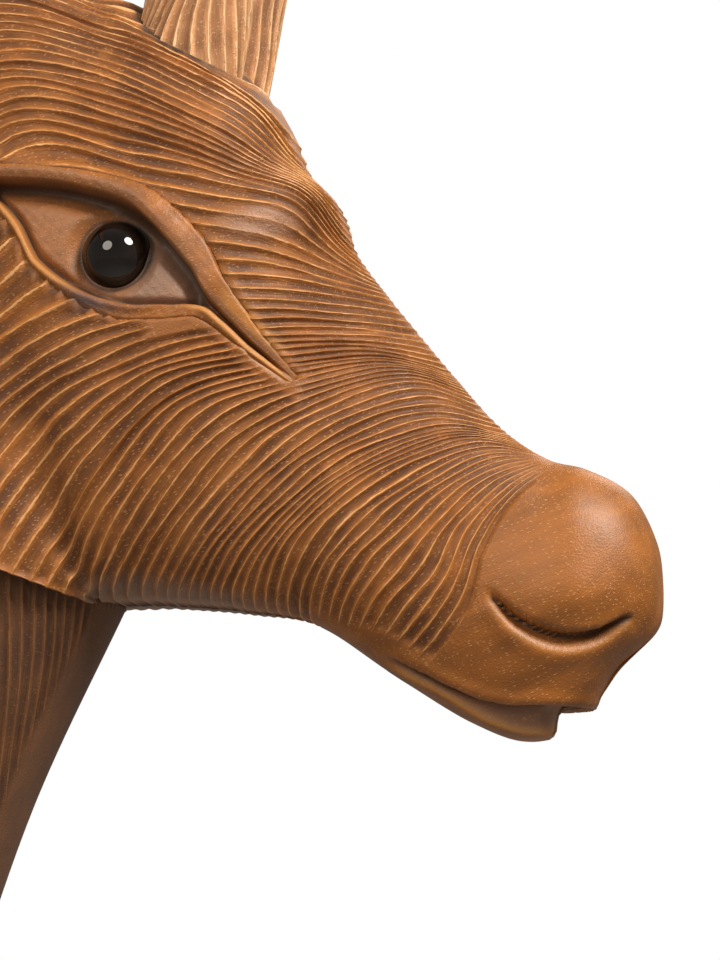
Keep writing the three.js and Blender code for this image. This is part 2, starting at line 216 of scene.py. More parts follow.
def step_between(tree, value, low, high, to_low=0.0, to_high=1.0):
    """Smooth step: to_low below low, to_high above high."""
    node = tree.nodes.new("ShaderNodeMapRange")
    node.interpolation_type = "SMOOTHSTEP"
    feed(tree, node.inputs["Value"], value)
    for label, number in (("From Min", low), ("From Max", high), ("To Min", to_low), ("To Max", to_high)):
        feed(tree, node.inputs[label], number)
    return node.outputs["Result"]


def blend_colour(tree, amount, first, second, mode="MIX"):
    node = tree.nodes.new("ShaderNodeMix")
    node.data_type = "RGBA"
    node.blend_type = mode
    feed(tree, node.inputs["Factor"], amount)
    feed(tree, node.inputs["A"], first)
    feed(tree, node.inputs["B"], second)
    return node.outputs["Result"]


print("links, sums and blends ready")

# %% [markdown]
# Patterns start as noise. It turns into grain when it is stretched along the log.

# %% Noise and stretched coordinates


def noise(tree, vector, scale, detail=3.0, rough=0.55):
    node = tree.nodes.new("ShaderNodeTexNoise")
    feed(tree, node.inputs["Vector"], vector)
    feed(tree, node.inputs["Scale"], scale)
    feed(tree, node.inputs["Detail"], detail)
    feed(tree, node.inputs["Roughness"], rough)
    return node.outputs["Fac"]


def stretched(tree, vector, turn, squeeze):
    """Coordinates turned so that the log lies along X, then scaled, X least, to stretch patterns."""
    node = tree.nodes.new("ShaderNodeMapping")
    node.vector_type = "TEXTURE"
    feed(tree, node.inputs["Vector"], vector)
    node.inputs["Rotation"].default_value = turn
    node.inputs["Scale"].default_value = [1 / share for share in squeeze]
    return node.outputs["Vector"]


print("noise and stretching ready")


# %% [markdown]
# Grain: long soft streaks from stretched noise, plus pores from stretched cells. The cells are
# three and a half times longer along the log than across it, so a side view shows dashes and the
# end shows dots.

# %% Grain group


def make_grain_group():
    group, given, result = new_group(
        "Wood grain",
        {"Position": ("vector", None), "Pore share": ("value", 0.5)},
        {"Streaks": "value", "Pores": "value", "Fibre": "value"},
    )
    tilt = (0.0, math.radians(-24), 0.0)
    along = stretched(group, given.outputs["Position"], tilt, (14.0, 120.0, 120.0))
    streaks = noise(group, along, 1.0, 4.0, 0.6)
    fibre = noise(group, stretched(group, given.outputs["Position"], tilt, (180, 2600, 2600)), 1.0, 2.0)
    cells = group.nodes.new("ShaderNodeTexVoronoi")
    feed(group, cells.inputs["Vector"], stretched(group, given.outputs["Position"], tilt, (430, 1500, 1500)))
    cells.inputs["Scale"].default_value = 1.0
    near_core = step_between(group, cells.outputs["Distance"], 0.14, 0.34, 1.0, 0.0)
    pick = group.nodes.new("ShaderNodeSeparateColor")
    feed(group, pick.inputs[0], cells.outputs["Color"])
    chosen = maths(group, "LESS_THAN", pick.outputs[0], given.outputs["Pore share"])
    feed(group, result.inputs["Streaks"], streaks)
    feed(group, result.inputs["Pores"], maths(group, "MULTIPLY", near_core, chosen))
    feed(group, result.inputs["Fibre"], fibre)
    return group


grain_group = make_grain_group()
print("group", grain_group.name, "with", len(grain_group.nodes), "nodes")

# %% [markdown]
# Strokes: the piece carries a number that grows by one from each gouge stroke to the next. Its
# fraction says where across the stroke a point lies: near 0 or 1 is the sharp ridge left between
# two cuts, the middle is the floor of the cut. Whole numbers pick a tone for each stroke.

# %% Stroke group


def make_stroke_group():
    group, given, result = new_group(
        "Gouge strokes",
        {"Number": ("value", 0.0), "Travel": ("value", 0.0), "Strength": ("value", 1.0),
         "Position": ("vector", None)},
        {"Ridge": "value", "Floor": "value", "Tone": "value", "Chisel": "value", "Relief": "value"},
    )
    number = given.outputs["Number"]
    wander = noise(group, given.outputs["Position"], 90.0, 2.0)
    ragged = noise(group, given.outputs["Position"], 700.0, 2.0)
    shift = maths(group, "ADD", maths(group, "MULTIPLY", maths(group, "SUBTRACT", wander, 0.5), 0.22),
                  maths(group, "MULTIPLY", maths(group, "SUBTRACT", ragged, 0.5), 0.09))
    shifted = maths(group, "ADD", number, shift)
    across = maths(group, "FRACT", shifted)
    from_ridge = maths(group, "MINIMUM", across, maths(group, "SUBTRACT", 1.0, across))
    broken = noise(group, given.outputs["Position"], 260.0, 2.0)
    width = step_between(group, broken, 0.3, 0.7, 0.035, 0.115)
    crest = step_between(group, maths(group, "DIVIDE", from_ridge, width), 0.35, 1.0, 1.0, 0.0)
    worn = step_between(group, noise(group, given.outputs["Position"], 38.0, 2.0), 0.25, 0.6, 0.35, 1.0)
    ridge = maths(group, "MULTIPLY", maths(group, "MULTIPLY", crest, worn), given.outputs["Strength"])
    floor = maths(group, "MULTIPLY", step_between(group, from_ridge, 0.08, 0.34), given.outputs["Strength"])
    lines = group.nodes.new("ShaderNodeCombineXYZ")
    feed(group, lines.inputs["X"], maths(group, "MULTIPLY", number, 11.0))
    feed(group, lines.inputs["Y"], maths(group, "MULTIPLY", given.outputs["Travel"], 150.0))
    tool_marks = noise(group, lines.outputs[0], 1.0, 4.0, 0.65)
    chisel = maths(group, "MULTIPLY", tool_marks, given.outputs["Strength"])
    each = group.nodes.new("ShaderNodeTexWhiteNoise")
    each.noise_dimensions = "1D"
    feed(group, each.inputs["W"], maths(group, "FLOOR", shifted))
    feed(group, result.inputs["Ridge"], ridge)
    feed(group, result.inputs["Floor"], floor)
    feed(group, result.inputs["Tone"], each.outputs["Value"])
    feed(group, result.inputs["Chisel"], chisel)
    height = maths(group, "SUBTRACT", ridge, maths(group, "MULTIPLY", floor, 0.5))
    feed(group, result.inputs["Relief"], maths(group, "ADD", height, maths(group, "MULTIPLY", chisel, 1.3)))
    return group


stroke_group = make_stroke_group()
print("group", stroke_group.name, "with", len(stroke_group.nodes), "nodes")

# %% [markdown]
# Age: soft cloudy patches where hands and dust have changed the oil finish, and a few small amber
# spots where resin or filler shows.

# %% Age group


def make_age_group():
    group, given, result = new_group(
        "Age and handling",
        {"Position": ("vector", None)},
        {"Clouds": "value", "Amber spots": "value"},
    )
    clouds = noise(group, given.outputs["Position"], 17.0, 4.0, 0.6)
    spots = group.nodes.new("ShaderNodeTexVoronoi")
    feed(group, spots.inputs["Vector"], given.outputs["Position"])
    spots.inputs["Scale"].default_value = 26.0
    pick = group.nodes.new("ShaderNodeSeparateColor")
    feed(group, pick.inputs[0], spots.outputs["Color"])
    small = step_between(group, spots.outputs["Distance"], 0.05, 0.12, 1.0, 0.0)
    few = maths(group, "LESS_THAN", pick.outputs[0], 0.22)
    feed(group, result.inputs["Clouds"], clouds)
    feed(group, result.inputs["Amber spots"], maths(group, "MULTIPLY", small, few))
    return group


age_group = make_age_group()
print("group", age_group.name, "with", len(age_group.nodes), "nodes")


# %% [markdown]
# The wood material mixes those patterns. Colours are given as light (linear) values: a mid brown,
# a painted shade for the floors of the cuts, a pale colour for pores and for the ridges (partly wear,
# partly painted highlight), and a greyish wash that is partly dust and partly painted shade. Painted
# highlights on rims, painted shade in hollows and dark seams are blended in from the skin's facts.
# Ridges are slightly glossier than the floors of the cuts, because hands and cloths reach only them.

# %% Carved wood material


def carved_wood(name, mid, groove, ridge, ridge_share=0.9, gloss=0.45, pore_share=0.6, relief=0.6):
    material = bpy.data.materials.new(name)
    material.use_nodes = True
    tree = material.node_tree
    shader = tree.nodes["Principled BSDF"]
    place = tree.nodes.new("ShaderNodeTexCoord").outputs["Object"]

    def fact(label):
        node = tree.nodes.new("ShaderNodeAttribute")
        node.attribute_name = label
        return node.outputs["Fac"]

    def use(group, **sources):
        node = tree.nodes.new("ShaderNodeGroup")
        node.node_tree = group
        for label, source in sources.items():
            feed(tree, node.inputs[label.replace("_", " ")], source)
        return node.outputs

    grain = use(grain_group, Position=place, Pore_share=pore_share)
    strokes = use(stroke_group, Number=fact("stroke"), Travel=fact("travel"), Strength=fact("strength"),
                  Position=place)
    age = use(age_group, Position=place)

    streak = step_between(tree, grain["Streaks"], 0.3, 0.72)
    colour = blend_colour(tree, streak, (*[c * 0.72 for c in mid], 1), (*[c * 1.18 for c in mid], 1))
    colour = blend_colour(tree, step_between(tree, age["Clouds"], 0.35, 0.7, 0.0, 0.35), colour,
                          (mid[0] * 1.15, mid[1] * 1.25, mid[2] * 1.6, 1))
    tone = step_between(tree, strokes["Tone"], 0.0, 1.0, 0.74, 1.2)
    toned = blend_colour(tree, 1.0, colour, tone, "MULTIPLY")
    colour = blend_colour(tree, fact("strength"), colour, toned)
    plain = step_between(tree, fact("strength"), 0.0, 0.6, 0.85, 1.0)
    colour = blend_colour(tree, 1.0, colour, plain, "MULTIPLY")
    scraped = step_between(tree, strokes["Chisel"], 0.38, 0.68, 0.0, 0.65)
    colour = blend_colour(tree, scraped, colour, (mid[0] * 1.5, mid[1] * 1.7, mid[2] * 2.2, 1))
    # Painted shade: the floors of the cuts are darkened towards the groove colour.
    dark = maths(tree, "MULTIPLY", strokes["Floor"],
                 step_between(tree, noise(tree, place, 55.0, 3.0), 0.3, 0.7, 0.4, 0.95))
    colour = blend_colour(tree, dark, colour, (*groove, 1))
    colour = blend_colour(tree, maths(tree, "MULTIPLY", grain["Pores"], 0.4), colour, (*ridge, 1))
    # The ridges take the pale colour: partly wear, partly a painted highlight on the crests.
    colour = blend_colour(tree, maths(tree, "MULTIPLY", strokes["Ridge"], ridge_share), colour, (*ridge, 1))
    amber = maths(tree, "MULTIPLY", age["Amber spots"], 0.75)
    colour = blend_colour(tree, amber, colour, (0.5, 0.2, 0.04, 1))
    # Painted highlight on raised rims of the lids, the tear groove, the lower lip and the nostril.
    colour = blend_colour(tree, fact("painted_highlight"), colour, (0.62, 0.27, 0.06, 1))
    # A greyish wash: dust on the worn patch before the brow, and painted shade in the eye hollow, on the
    # floor of the mouth cut and under the jaw; the plain throat strip of the neck gets it too.
    colour = blend_colour(tree, maths(tree, "MULTIPLY", fact("dusty"), 0.6), colour, (0.27, 0.19, 0.15, 1))
    # Nearly black painted shade in the eye hollow, round the ball, under the upper lip, in the nostril's
    # corner and on the top of the neck, and the dark seam round each horn.
    colour = blend_colour(tree, fact("sooty"), colour, (0.028, 0.018, 0.014, 1))
    # A dark bluish patch just below the lower lid.
    dark_blue_amount = maths(tree, "MULTIPLY", fact("dark_blue_patch"), 0.85)
    colour = blend_colour(tree, dark_blue_amount, colour, (0.05, 0.055, 0.075, 1))
    feed(tree, shader.inputs["Base Color"], colour)

    rough = step_between(tree, age["Clouds"], 0.3, 0.75, gloss - 0.06, gloss + 0.1)
    rough = maths(tree, "ADD", rough, maths(tree, "MULTIPLY", strokes["Floor"], 0.12))
    rough = maths(tree, "ADD", rough, maths(tree, "MULTIPLY", fact("sooty"), 0.3))
    rough = maths(tree, "ADD", rough, maths(tree, "MULTIPLY", grain["Fibre"], 0.06), clamp=True)
    feed(tree, shader.inputs["Roughness"], rough)
    shader.inputs["Coat Weight"].default_value = 0.12
    shader.inputs["Coat Roughness"].default_value = 0.35
    shader.inputs["Specular IOR Level"].default_value = 0.42

    height = maths(tree, "MULTIPLY", strokes["Relief"], 1.0)
    height = maths(tree, "ADD", height, maths(tree, "MULTIPLY", grain["Fibre"], 0.35))
    height = maths(tree, "ADD", height, maths(tree, "MULTIPLY", grain["Pores"], 0.35))
    sandy = maths(tree, "MULTIPLY", noise(tree, place, 1500.0, 2.0), 0.5)
    height = maths(tree, "ADD", height, sandy)
    rough_patch = maths(tree, "MULTIPLY", noise(tree, place, 900.0, 3.0), fact("worn"))
    height = maths(tree, "ADD", height, maths(tree, "MULTIPLY", rough_patch, 1.5))
    lift = tree.nodes.new("ShaderNodeBump")
    lift.inputs["Strength"].default_value = relief
    lift.inputs["Distance"].default_value = 0.0005
    feed(tree, lift.inputs["Height"], height)
    feed(tree, shader.inputs["Normal"], lift.outputs["Normal"])
    return material


head_wood = carved_wood("Head wood", (0.345, 0.112, 0.015), (0.095, 0.029, 0.006), (0.80, 0.42, 0.17))
print(head_wood.name, "with", len(head_wood.node_tree.nodes), "nodes")

# %% [markdown]
# ## The head
# The head is a fan of sections. Each station gives a point on the top line and one on the bottom
# line of the profile, in millimetres from a datum midway along the face, with the half width, how
# far down it is widest, and how blunt the crest and keel are. They are the stations of the solid,
# so the carved skin lies on it.

# %% Head stations: top x z, bottom x z, half width, widest, crest, keel
head_low, head_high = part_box("head")
DATUM = np.array([head_high.x - 100.5 * MM, 0.0, head_low.z + 88 * MM])
HEAD = np.array([
    [100.5, -38, 100.5, -42, 0, 0.5, 1, 1],
    [99, -24, 99, -52, 12, 0.5, 1, 1],
    [91, -8, 90, -62, 21, 0.5, 0.95, 0.9],
    [77, 0.5, 76, -78, 27, 0.47, 0.9, 0.9],
    [63, 5, 58, -88, 28.5, 0.48, 1, 0.85],
    [46, 18, 38, -82, 28.5, 0.55, 1.1, 0.8],
    [22, 47, 12, -66, 31, 0.6, 1.1, 0.75],
    [2, 73, -14, -49, 36, 0.6, 1.05, 0.75],
    [-13, 95, -38, -44, 43, 0.45, 0.85, 0.5],
    [-26, 116, -55, -42, 48, 0.38, 0.75, 0.5],
    [-40, 141, -68, -41, 50, 0.4, 0.7, 0.5],
    [-56, 157, -76, -41, 50, 0.44, 0.68, 0.5],
    [-84, 170, -81, -41, 50, 0.48, 0.7, 0.5],
    [-118, 189, -84, -41, 49, 0.5, 0.75, 0.5],
    [-152, 197, -85, -41, 47, 0.5, 0.8, 0.5],
    [-176, 165, -86, -41, 46, 0.5, 0.8, 0.5],
    [-192, 90, -86, -42, 46, 0.5, 0.85, 0.5],
    [-210, 5, -87, -42, 46, 0.5, 0.9, 0.6],
], float)
LAST = len(HEAD) - 1


def head_point(station, angle):
    """Profile x and z and half width at a station, angle 0 on the top line to pi on the bottom."""
    row = np.moveaxis(read_stations(HEAD, station), -1, 0)
    top_x, top_z, low_x, low_z, half, widest, crest, keel = row
    upper = np.cos(angle) >= 0
    down = np.where(upper, widest * (1 - np.cos(angle)), widest - (1 - widest) * np.cos(angle))
    swing = np.clip(np.sin(angle), 0, 1)
    width = np.maximum(half, 0) * swing ** np.where(upper, crest, keel)
    return top_x + (low_x - top_x) * down, top_z + (low_z - top_z) * down, width


def find_on_head(x, z):
    """Station and angle of the section line through a profile point, by halving the interval."""
    low = np.zeros(np.shape(x))
    high = np.full(np.shape(x), float(LAST))
    for _ in range(30):
        middle = (low + high) / 2
        top_x, top_z, low_x, low_z = np.moveaxis(read_stations(HEAD[:, :4], middle), -1, 0)
        side = (x - top_x) * (low_z - top_z) - (z - top_z) * (low_x - top_x)
        low = np.where(side > 0, middle, low)
        high = np.where(side > 0, high, middle)
    top_x, top_z, low_x, low_z = np.moveaxis(read_stations(HEAD[:, :4], low), -1, 0)
    widest = read_stations(HEAD[:, 5], low)
    length = np.hypot(low_x - top_x, low_z - top_z)
    down = np.clip(np.hypot(x - top_x, z - top_z) / length, 0, 1)
    cosine = np.where(down < widest, 1 - down / widest, (widest - down) / (1 - widest))
    return low, np.arccos(np.clip(cosine, -1, 1))


print("head stations", len(HEAD), "datum", np.round(DATUM, 3))

# %% [markdown]
# The coat lines are laid out the way a carver draws them first: guide strokes from the crest of the
# nose and forehead, sweeping back and then down the cheek. A guide has its stroke number, the
# station where it leaves the top line, four points on its way (side view, millimetres) and the
# point where it runs out: on the jaw, on the joint with the neck, or up the nape. All other strokes
# lie between guides.

# %% Guide strokes: number, start station, four x z points, end
GUIDES = [
    (0, 3.56, (55, -13), (46.5, -29), (42, -46), (32, -60), (18, -70)),
    (12, 4.15, (44, 7), (26, -2), (7, -15.5), (-8, -30), (-17.5, -47.5)),
    (19, 4.73, (33, 14.5), (13, 7), (-9, -6), (-29, -24), (-43, -43)),
    (25, 5.3, (21, 29), (-4, 19), (-27, 5), (-47, -16), (-66, -41)),
    (33, 5.62, (8, 38), (-22, 31.5), (-55, 22), (-82, -4), (-103, -36)),
    (38, 6.02, (-7, 46.5), (-38, 41), (-70, 34), (-102, 17), (-132, -25)),
    (43, 6.5, (-18, 61.5), (-56, 58), (-95, 51.5), (-127, 29), (-158, -15)),
    (49, 6.92, (-25, 88), (-64, 99), (-108, 106), (-148, 62), (-200, 1)),
    (57, 7.85, (-39, 111.5), (-79, 132), (-120, 140), (-160, 115), (-194, 85)),
    (64, 9.0, (-50, 137), (-85, 155), (-118, 168), (-146, 164), (-185, 130)),
    (68, 11.6, (-100, 172), (-114, 178), (-130, 183), (-146, 184), (-168, 176)),
]
CROWN = 14.0           # station of the whorl on the poll, where the strokes close
STROKES = 70
PHASES = np.array([0, 0.09, 0.3, 0.5, 0.7, 0.91])      # sample places across one stroke
MUZZLE_COLUMNS = 70
HALF_ROWS = 100
print("guides", len(GUIDES), "for", STROKES, "strokes")

# %% [markdown]
# The end of a guide is moved to the nearest place on the border. Strokes between guides are read
# from curves through the guides, then shifted a little sideways so that none looks ruled.

# %% Lay the strokes


def head_border():
    """Stations and angles along the jaw line, across the neck joint and up the nape."""
    jaw = np.linspace(3, LAST, 240)
    joint = np.linspace(math.pi, 0, 120)
    nape = np.linspace(LAST, CROWN, 60)
    stations = np.concatenate([jaw, np.full(len(joint), float(LAST)), nape])
    angles = np.concatenate([np.full(len(jaw), math.pi), joint, np.zeros(len(nape))])
    x, z, _ = head_point(stations, angles)
    length = np.concatenate([[0], np.cumsum(np.hypot(np.diff(x), np.diff(z)))])
    return stations, angles, np.column_stack([x, z]), length


def lay_strokes(number, t):
    """Side-view points, stations and angles at stroke number (columns) and t along it (rows)."""
    stations, angles, line, length = head_border()
    knots = np.array([g[0] for g in GUIDES] + [STROKES], float)
    starts = between(knots, [g[1] for g in GUIDES] + [CROWN], number)
    end_points = np.array([g[6] for g in GUIDES], float)
    nearest = np.argmin(np.linalg.norm(line[:, None] - end_points[None], axis=-1), axis=0)
    run = np.interp(number, knots, np.append(length[nearest], length[-1]))
    crown_x, crown_z, _ = head_point(np.array(CROWN), np.array(0.0))
    inner = np.array([g[2:6] for g in GUIDES] + [[(crown_x, crown_z)] * 4], float)
    inner = between(knots, inner, number)
    start_x, start_z, _ = head_point(starts, np.zeros(len(starts)))
    end = np.column_stack([np.interp(run, length, line[:, 0]), np.interp(run, length, line[:, 1])])
    start = np.column_stack([start_x, start_z])
    stops = np.concatenate([start[:, None], inner, end[:, None]], axis=1)
    path = np.moveaxis(read_stations(np.moveaxis(stops, 1, 0), t * 5), 0, 1)
    edge = (np.interp(run, length, stations), np.interp(run, length, angles))
    return path, starts, edge


def onto_head(path, starts, edge):
    """Stations and angles of the stroke points, exact on the top line and on the border."""
    station, angle = find_on_head(path[..., 0], path[..., 1])
    station[:, 0], angle[:, 0] = starts, 0.0
    station[:, -1], angle[:, -1] = edge
    return station, angle


stroke_numbers = (np.arange(STROKES)[:, None] + PHASES[None, :]).reshape(-1)
stroke_numbers = np.append(stroke_numbers, STROKES)
along_t = np.linspace(0, 1, HALF_ROWS)
along_t = along_t - 0.72 * np.sin(2 * math.pi * along_t) / (2 * math.pi)
path, starts, edge = lay_strokes(stroke_numbers, along_t)
wobble = 0.42 * ripple(stroke_numbers[:, None] * 0.35, along_t[None, :] * 7, 11, 2)
calm_ends = (np.sin(math.pi * along_t) ** 0.7)[None, :] * ramp(stroke_numbers, 1, 4)[:, None]
calm_ends = calm_ends * (1 - ramp(stroke_numbers, 64, 67))[:, None]
per_stroke = np.gradient(path, stroke_numbers, axis=0)
path = path + per_stroke * (wobble * calm_ends)[..., None]
station, angle = onto_head(path, starts, edge)
share = (np.arange(MUZZLE_COLUMNS) / MUZZLE_COLUMNS)[:, None] ** 1.05
station = np.vstack([share * station[0], station])
angle = np.vstack([np.repeat(angle[:1], MUZZLE_COLUMNS, axis=0), angle])
numbers = np.concatenate([np.full(MUZZLE_COLUMNS, 0.0), stroke_numbers])
print("head grid", station.shape)

# %% [markdown]
# ### Relief of the face
# The relief is a height in millimetres above the plain skin, worked out from where a point lies in
# the side view: the lens-shaped eye hollow under a heavy brow roll, the rim of the lower lid, the
# tear groove, the nostril crescent, the mouth and the lips, and the gouge strokes themselves, which
# stop at smooth places.

# %% Curves on the face (side view, millimetres from the datum)
EYE_MIDDLE = np.array([-79.0, 73.7])
EYE_AXIS = np.array([0.874, -0.485])
# Along the eye and on down the tear groove: place, upper edge, lower edge, margin above, margin below
LIDS = np.array([
    [-54, -1.5, -2.5, 5.5, 3.2],
    [-41, 4.6, -1.5, 5.5, 3.2],
    [-28, 10.2, -5.5, 5.5, 3.2],
    [-15, 14.3, -13.6, 6.0, 3.2],
    [4, 16.9, -15.9, 8.0, 4.0],
    [20, 12.9, -13.0, 10.0, 6.0],
    [34, 7.4, -6.4, 10.5, 6.0],
    [43, 1.8, -2.0, 9.5, 5.0],
    [50, -0.8, -2.8, 8.0, 4.0],
    [62, -4.4, -6.0, 5.0, 3.0],
    [81, -9.0, -9.4, 2.0, 2.0],
])
LEAF_TIPS = [(-62, 38), (-40, 41), (-30, 31), (-14, 19)]
MOUTH = [(10, -60.5), (24.8, -67.8), (34.5, -72.8), (44.2, -76.8), (53.8, -78.6), (61, -78.6), (76, -79)]
NOSTRIL = [(48, -42.5), (56.5, -50.5), (69.5, -56), (82, -55.2), (92, -49.5)]
LEAF_ENDS = [(-16, -60), (-12.2, -46), (-0.9, -50.9), (11.7, -53.5), (21.9, -59), (31, -64.5), (45, -70)]
print("lid stations", len(LIDS), "from", LIDS[0, 0], "to", LIDS[-1, 0], "mm along the eye line")

# %% [markdown]
# The eye line runs through both corners of the eye and on down the tear groove. Heights there come
# from two numbers: the place along that line and how far a point lies from each lid edge.

# %% Eye hollow, lids and tear groove


def eye_place(x, z):
    """Place along and across the eye line, the two lid edges there and how far inside its margin."""
    rx, rz = x - EYE_MIDDLE[0], z - EYE_MIDDLE[1]
    p = rx * EYE_AXIS[0] + rz * EYE_AXIS[1]
    q = -rx * EYE_AXIS[1] + rz * EYE_AXIS[0]
    upper, lower, above, below = np.moveaxis(between(LIDS[:, 0], LIDS[:, 1:], p), -1, 0)
    ends = np.minimum(p - LIDS[0, 0], LIDS[-1, 0] - p)
    inward = np.minimum(np.minimum(upper + above - q, q - lower + below), ends)
    return p, q, upper, lower, inward


def eye_relief(x, z):
    """Height and colour facts of lids, eye hollow and tear groove, from the side-view place."""
    p, q, upper, lower, _ = eye_place(x, z)
    under, over = upper - q, q - lower
    eye = ramp(p, -56, -50) * (1 - ramp(p, 39, 46))
    groove = ramp(p, 39, 46) * (1 - ramp(p, 70, 80))
    inside = ramp(under, -0.3, 0.9) * ramp(over, -0.3, 0.8)
    ball = np.hypot(x + 73, z - 70.5)
    hollow = 2.6 + 5.4 * bump(under - 2.4, 4.2) + 1.8 * bump(over - 0.9, 1.5)
    hollow = hollow + 2.8 * (1 - ramp(ball, 11.5, 17))
    height = -(hollow * eye + 3.2 * groove) * inside
    height += 2.6 * (1 - 0.6 * ramp(p, 12, 36)) * bump(-under - 3.2, 4.4) * eye * (under < 0)
    height += 0.6 * bump(-over - 1.3, 1.5) * eye * ramp(p, 34, 22) * (over < 0)
    height += 0.5 * bump(-over - 1.5, 1.4) * groove * (over < 0)
    height += 0.4 * bump(-under - 7, 5.0) * ramp(p, 36, 48) * (1 - ramp(p, 66, 78)) * (under < 0)
    # Painted highlights on the rim of the lower lid, the lower edge of the tear groove and the slope above
    # it.
    left_rim = 0.65 * bump(-over - 0.8, 0.8) * eye * ramp(p, 8, -6)
    tear_ridge = 0.8 * bump(-over - 1.0, 0.7) * ramp(p, 36, 42) * (1 - ramp(p, 74, 81))
    warm_slope = 0.35 * bump(-under - 4.5, 2.6) * ramp(p, 44, 50) * (1 - ramp(p, 66, 78))
    shade_patch = bump(np.hypot((p - 18.5) / 3.0, (q - 4.0) / 5.0), 1.0)
    # Painted shade in the eye hollow under the lids, in a ring round the ball, in a patch in the hollow and
    # in the tear groove.
    shade = inside * eye * (0.75 * bump(under - 1.9, 2.8) + 0.7 * bump(over - 0.7, 0.9))
    shade = shade + 0.8 * bump(ball - 12.2, 0.7) * inside + 0.5 * shade_patch
    shade = shade + groove * (0.75 * inside + 0.45 * bump(-under - 1.0, 1.5) * (under < 0))
    facts = {
        "painted_highlight": left_rim + tear_ridge + warm_slope,
        # A greyish painted shade inside the eye hollow and just above the upper lid.
        "dusty": inside * eye * (0.25 + 0.7 * ramp(p, 12, 22)) + 0.25 * bump(-under - 2, 3) * eye,
        "sooty": shade,
        # A dark bluish patch just below the lower lid.
        "dark_blue_patch": 0.9 * bump(np.hypot((p - 9) / 10, (over + 2.4) / 2.2), 1.0),
    }
    return height, facts


print("height at the ball's middle", np.round(eye_relief(np.array(-73.0), np.array(70.5))[0], 1), "mm")

# %% [markdown]
# The mouth and the nostril are undercuts: a sharp upper lip, and a floor that slopes up to a soft
# lower rim. Both need the distance to a curve and the side of it on which a point lies.

# %% Distance to a curve, and an undercut


def to_curve(x, z, points, samples=60):
    """Distance to a smooth curve through points, its side (+ on the left going along) and share."""
    line = read_stations(points, np.linspace(0, len(points) - 1, samples))
    best = np.full(x.shape, 1e9)
    side = np.zeros(x.shape)
    share_along = np.zeros(x.shape)
    for i in range(samples - 1):
        start, step = line[i], line[i + 1] - line[i]
        length = step @ step
        t = np.clip(((x - start[0]) * step[0] + (z - start[1]) * step[1]) / length, 0, 1)
        dx, dz = x - start[0] - t * step[0], z - start[1] - t * step[1]
        distance = np.hypot(dx, dz)
        closer = distance < best
        best = np.where(closer, distance, best)
        side = np.where(closer, np.sign(step[0] * dz - step[1] * dx), side)
        share_along = np.where(closer, (i + t) / (samples - 1), share_along)
    return best, side, share_along


def undercut(distance, side, width, depth):
    """A cut with a sharp upper lip and a floor that slopes up to its lower rim at width."""
    floor = np.clip(1 - distance / width, 0, 1) ** 0.8 * (side < 0)
    return -depth * np.maximum(floor, (1 - ramp(distance, 0, 1.5)) * (side >= 0))


print("undercut 1 mm below a lip", np.round(undercut(1.0, -1, 5.0, 4.4), 2), "mm")

# %% [markdown]
# The whole face adds these up. It also says where the coat strokes may run: not over the lids, the
# lips or the nose, and only faintly over the worn patch in front of the brow.

# %% Relief of the whole face


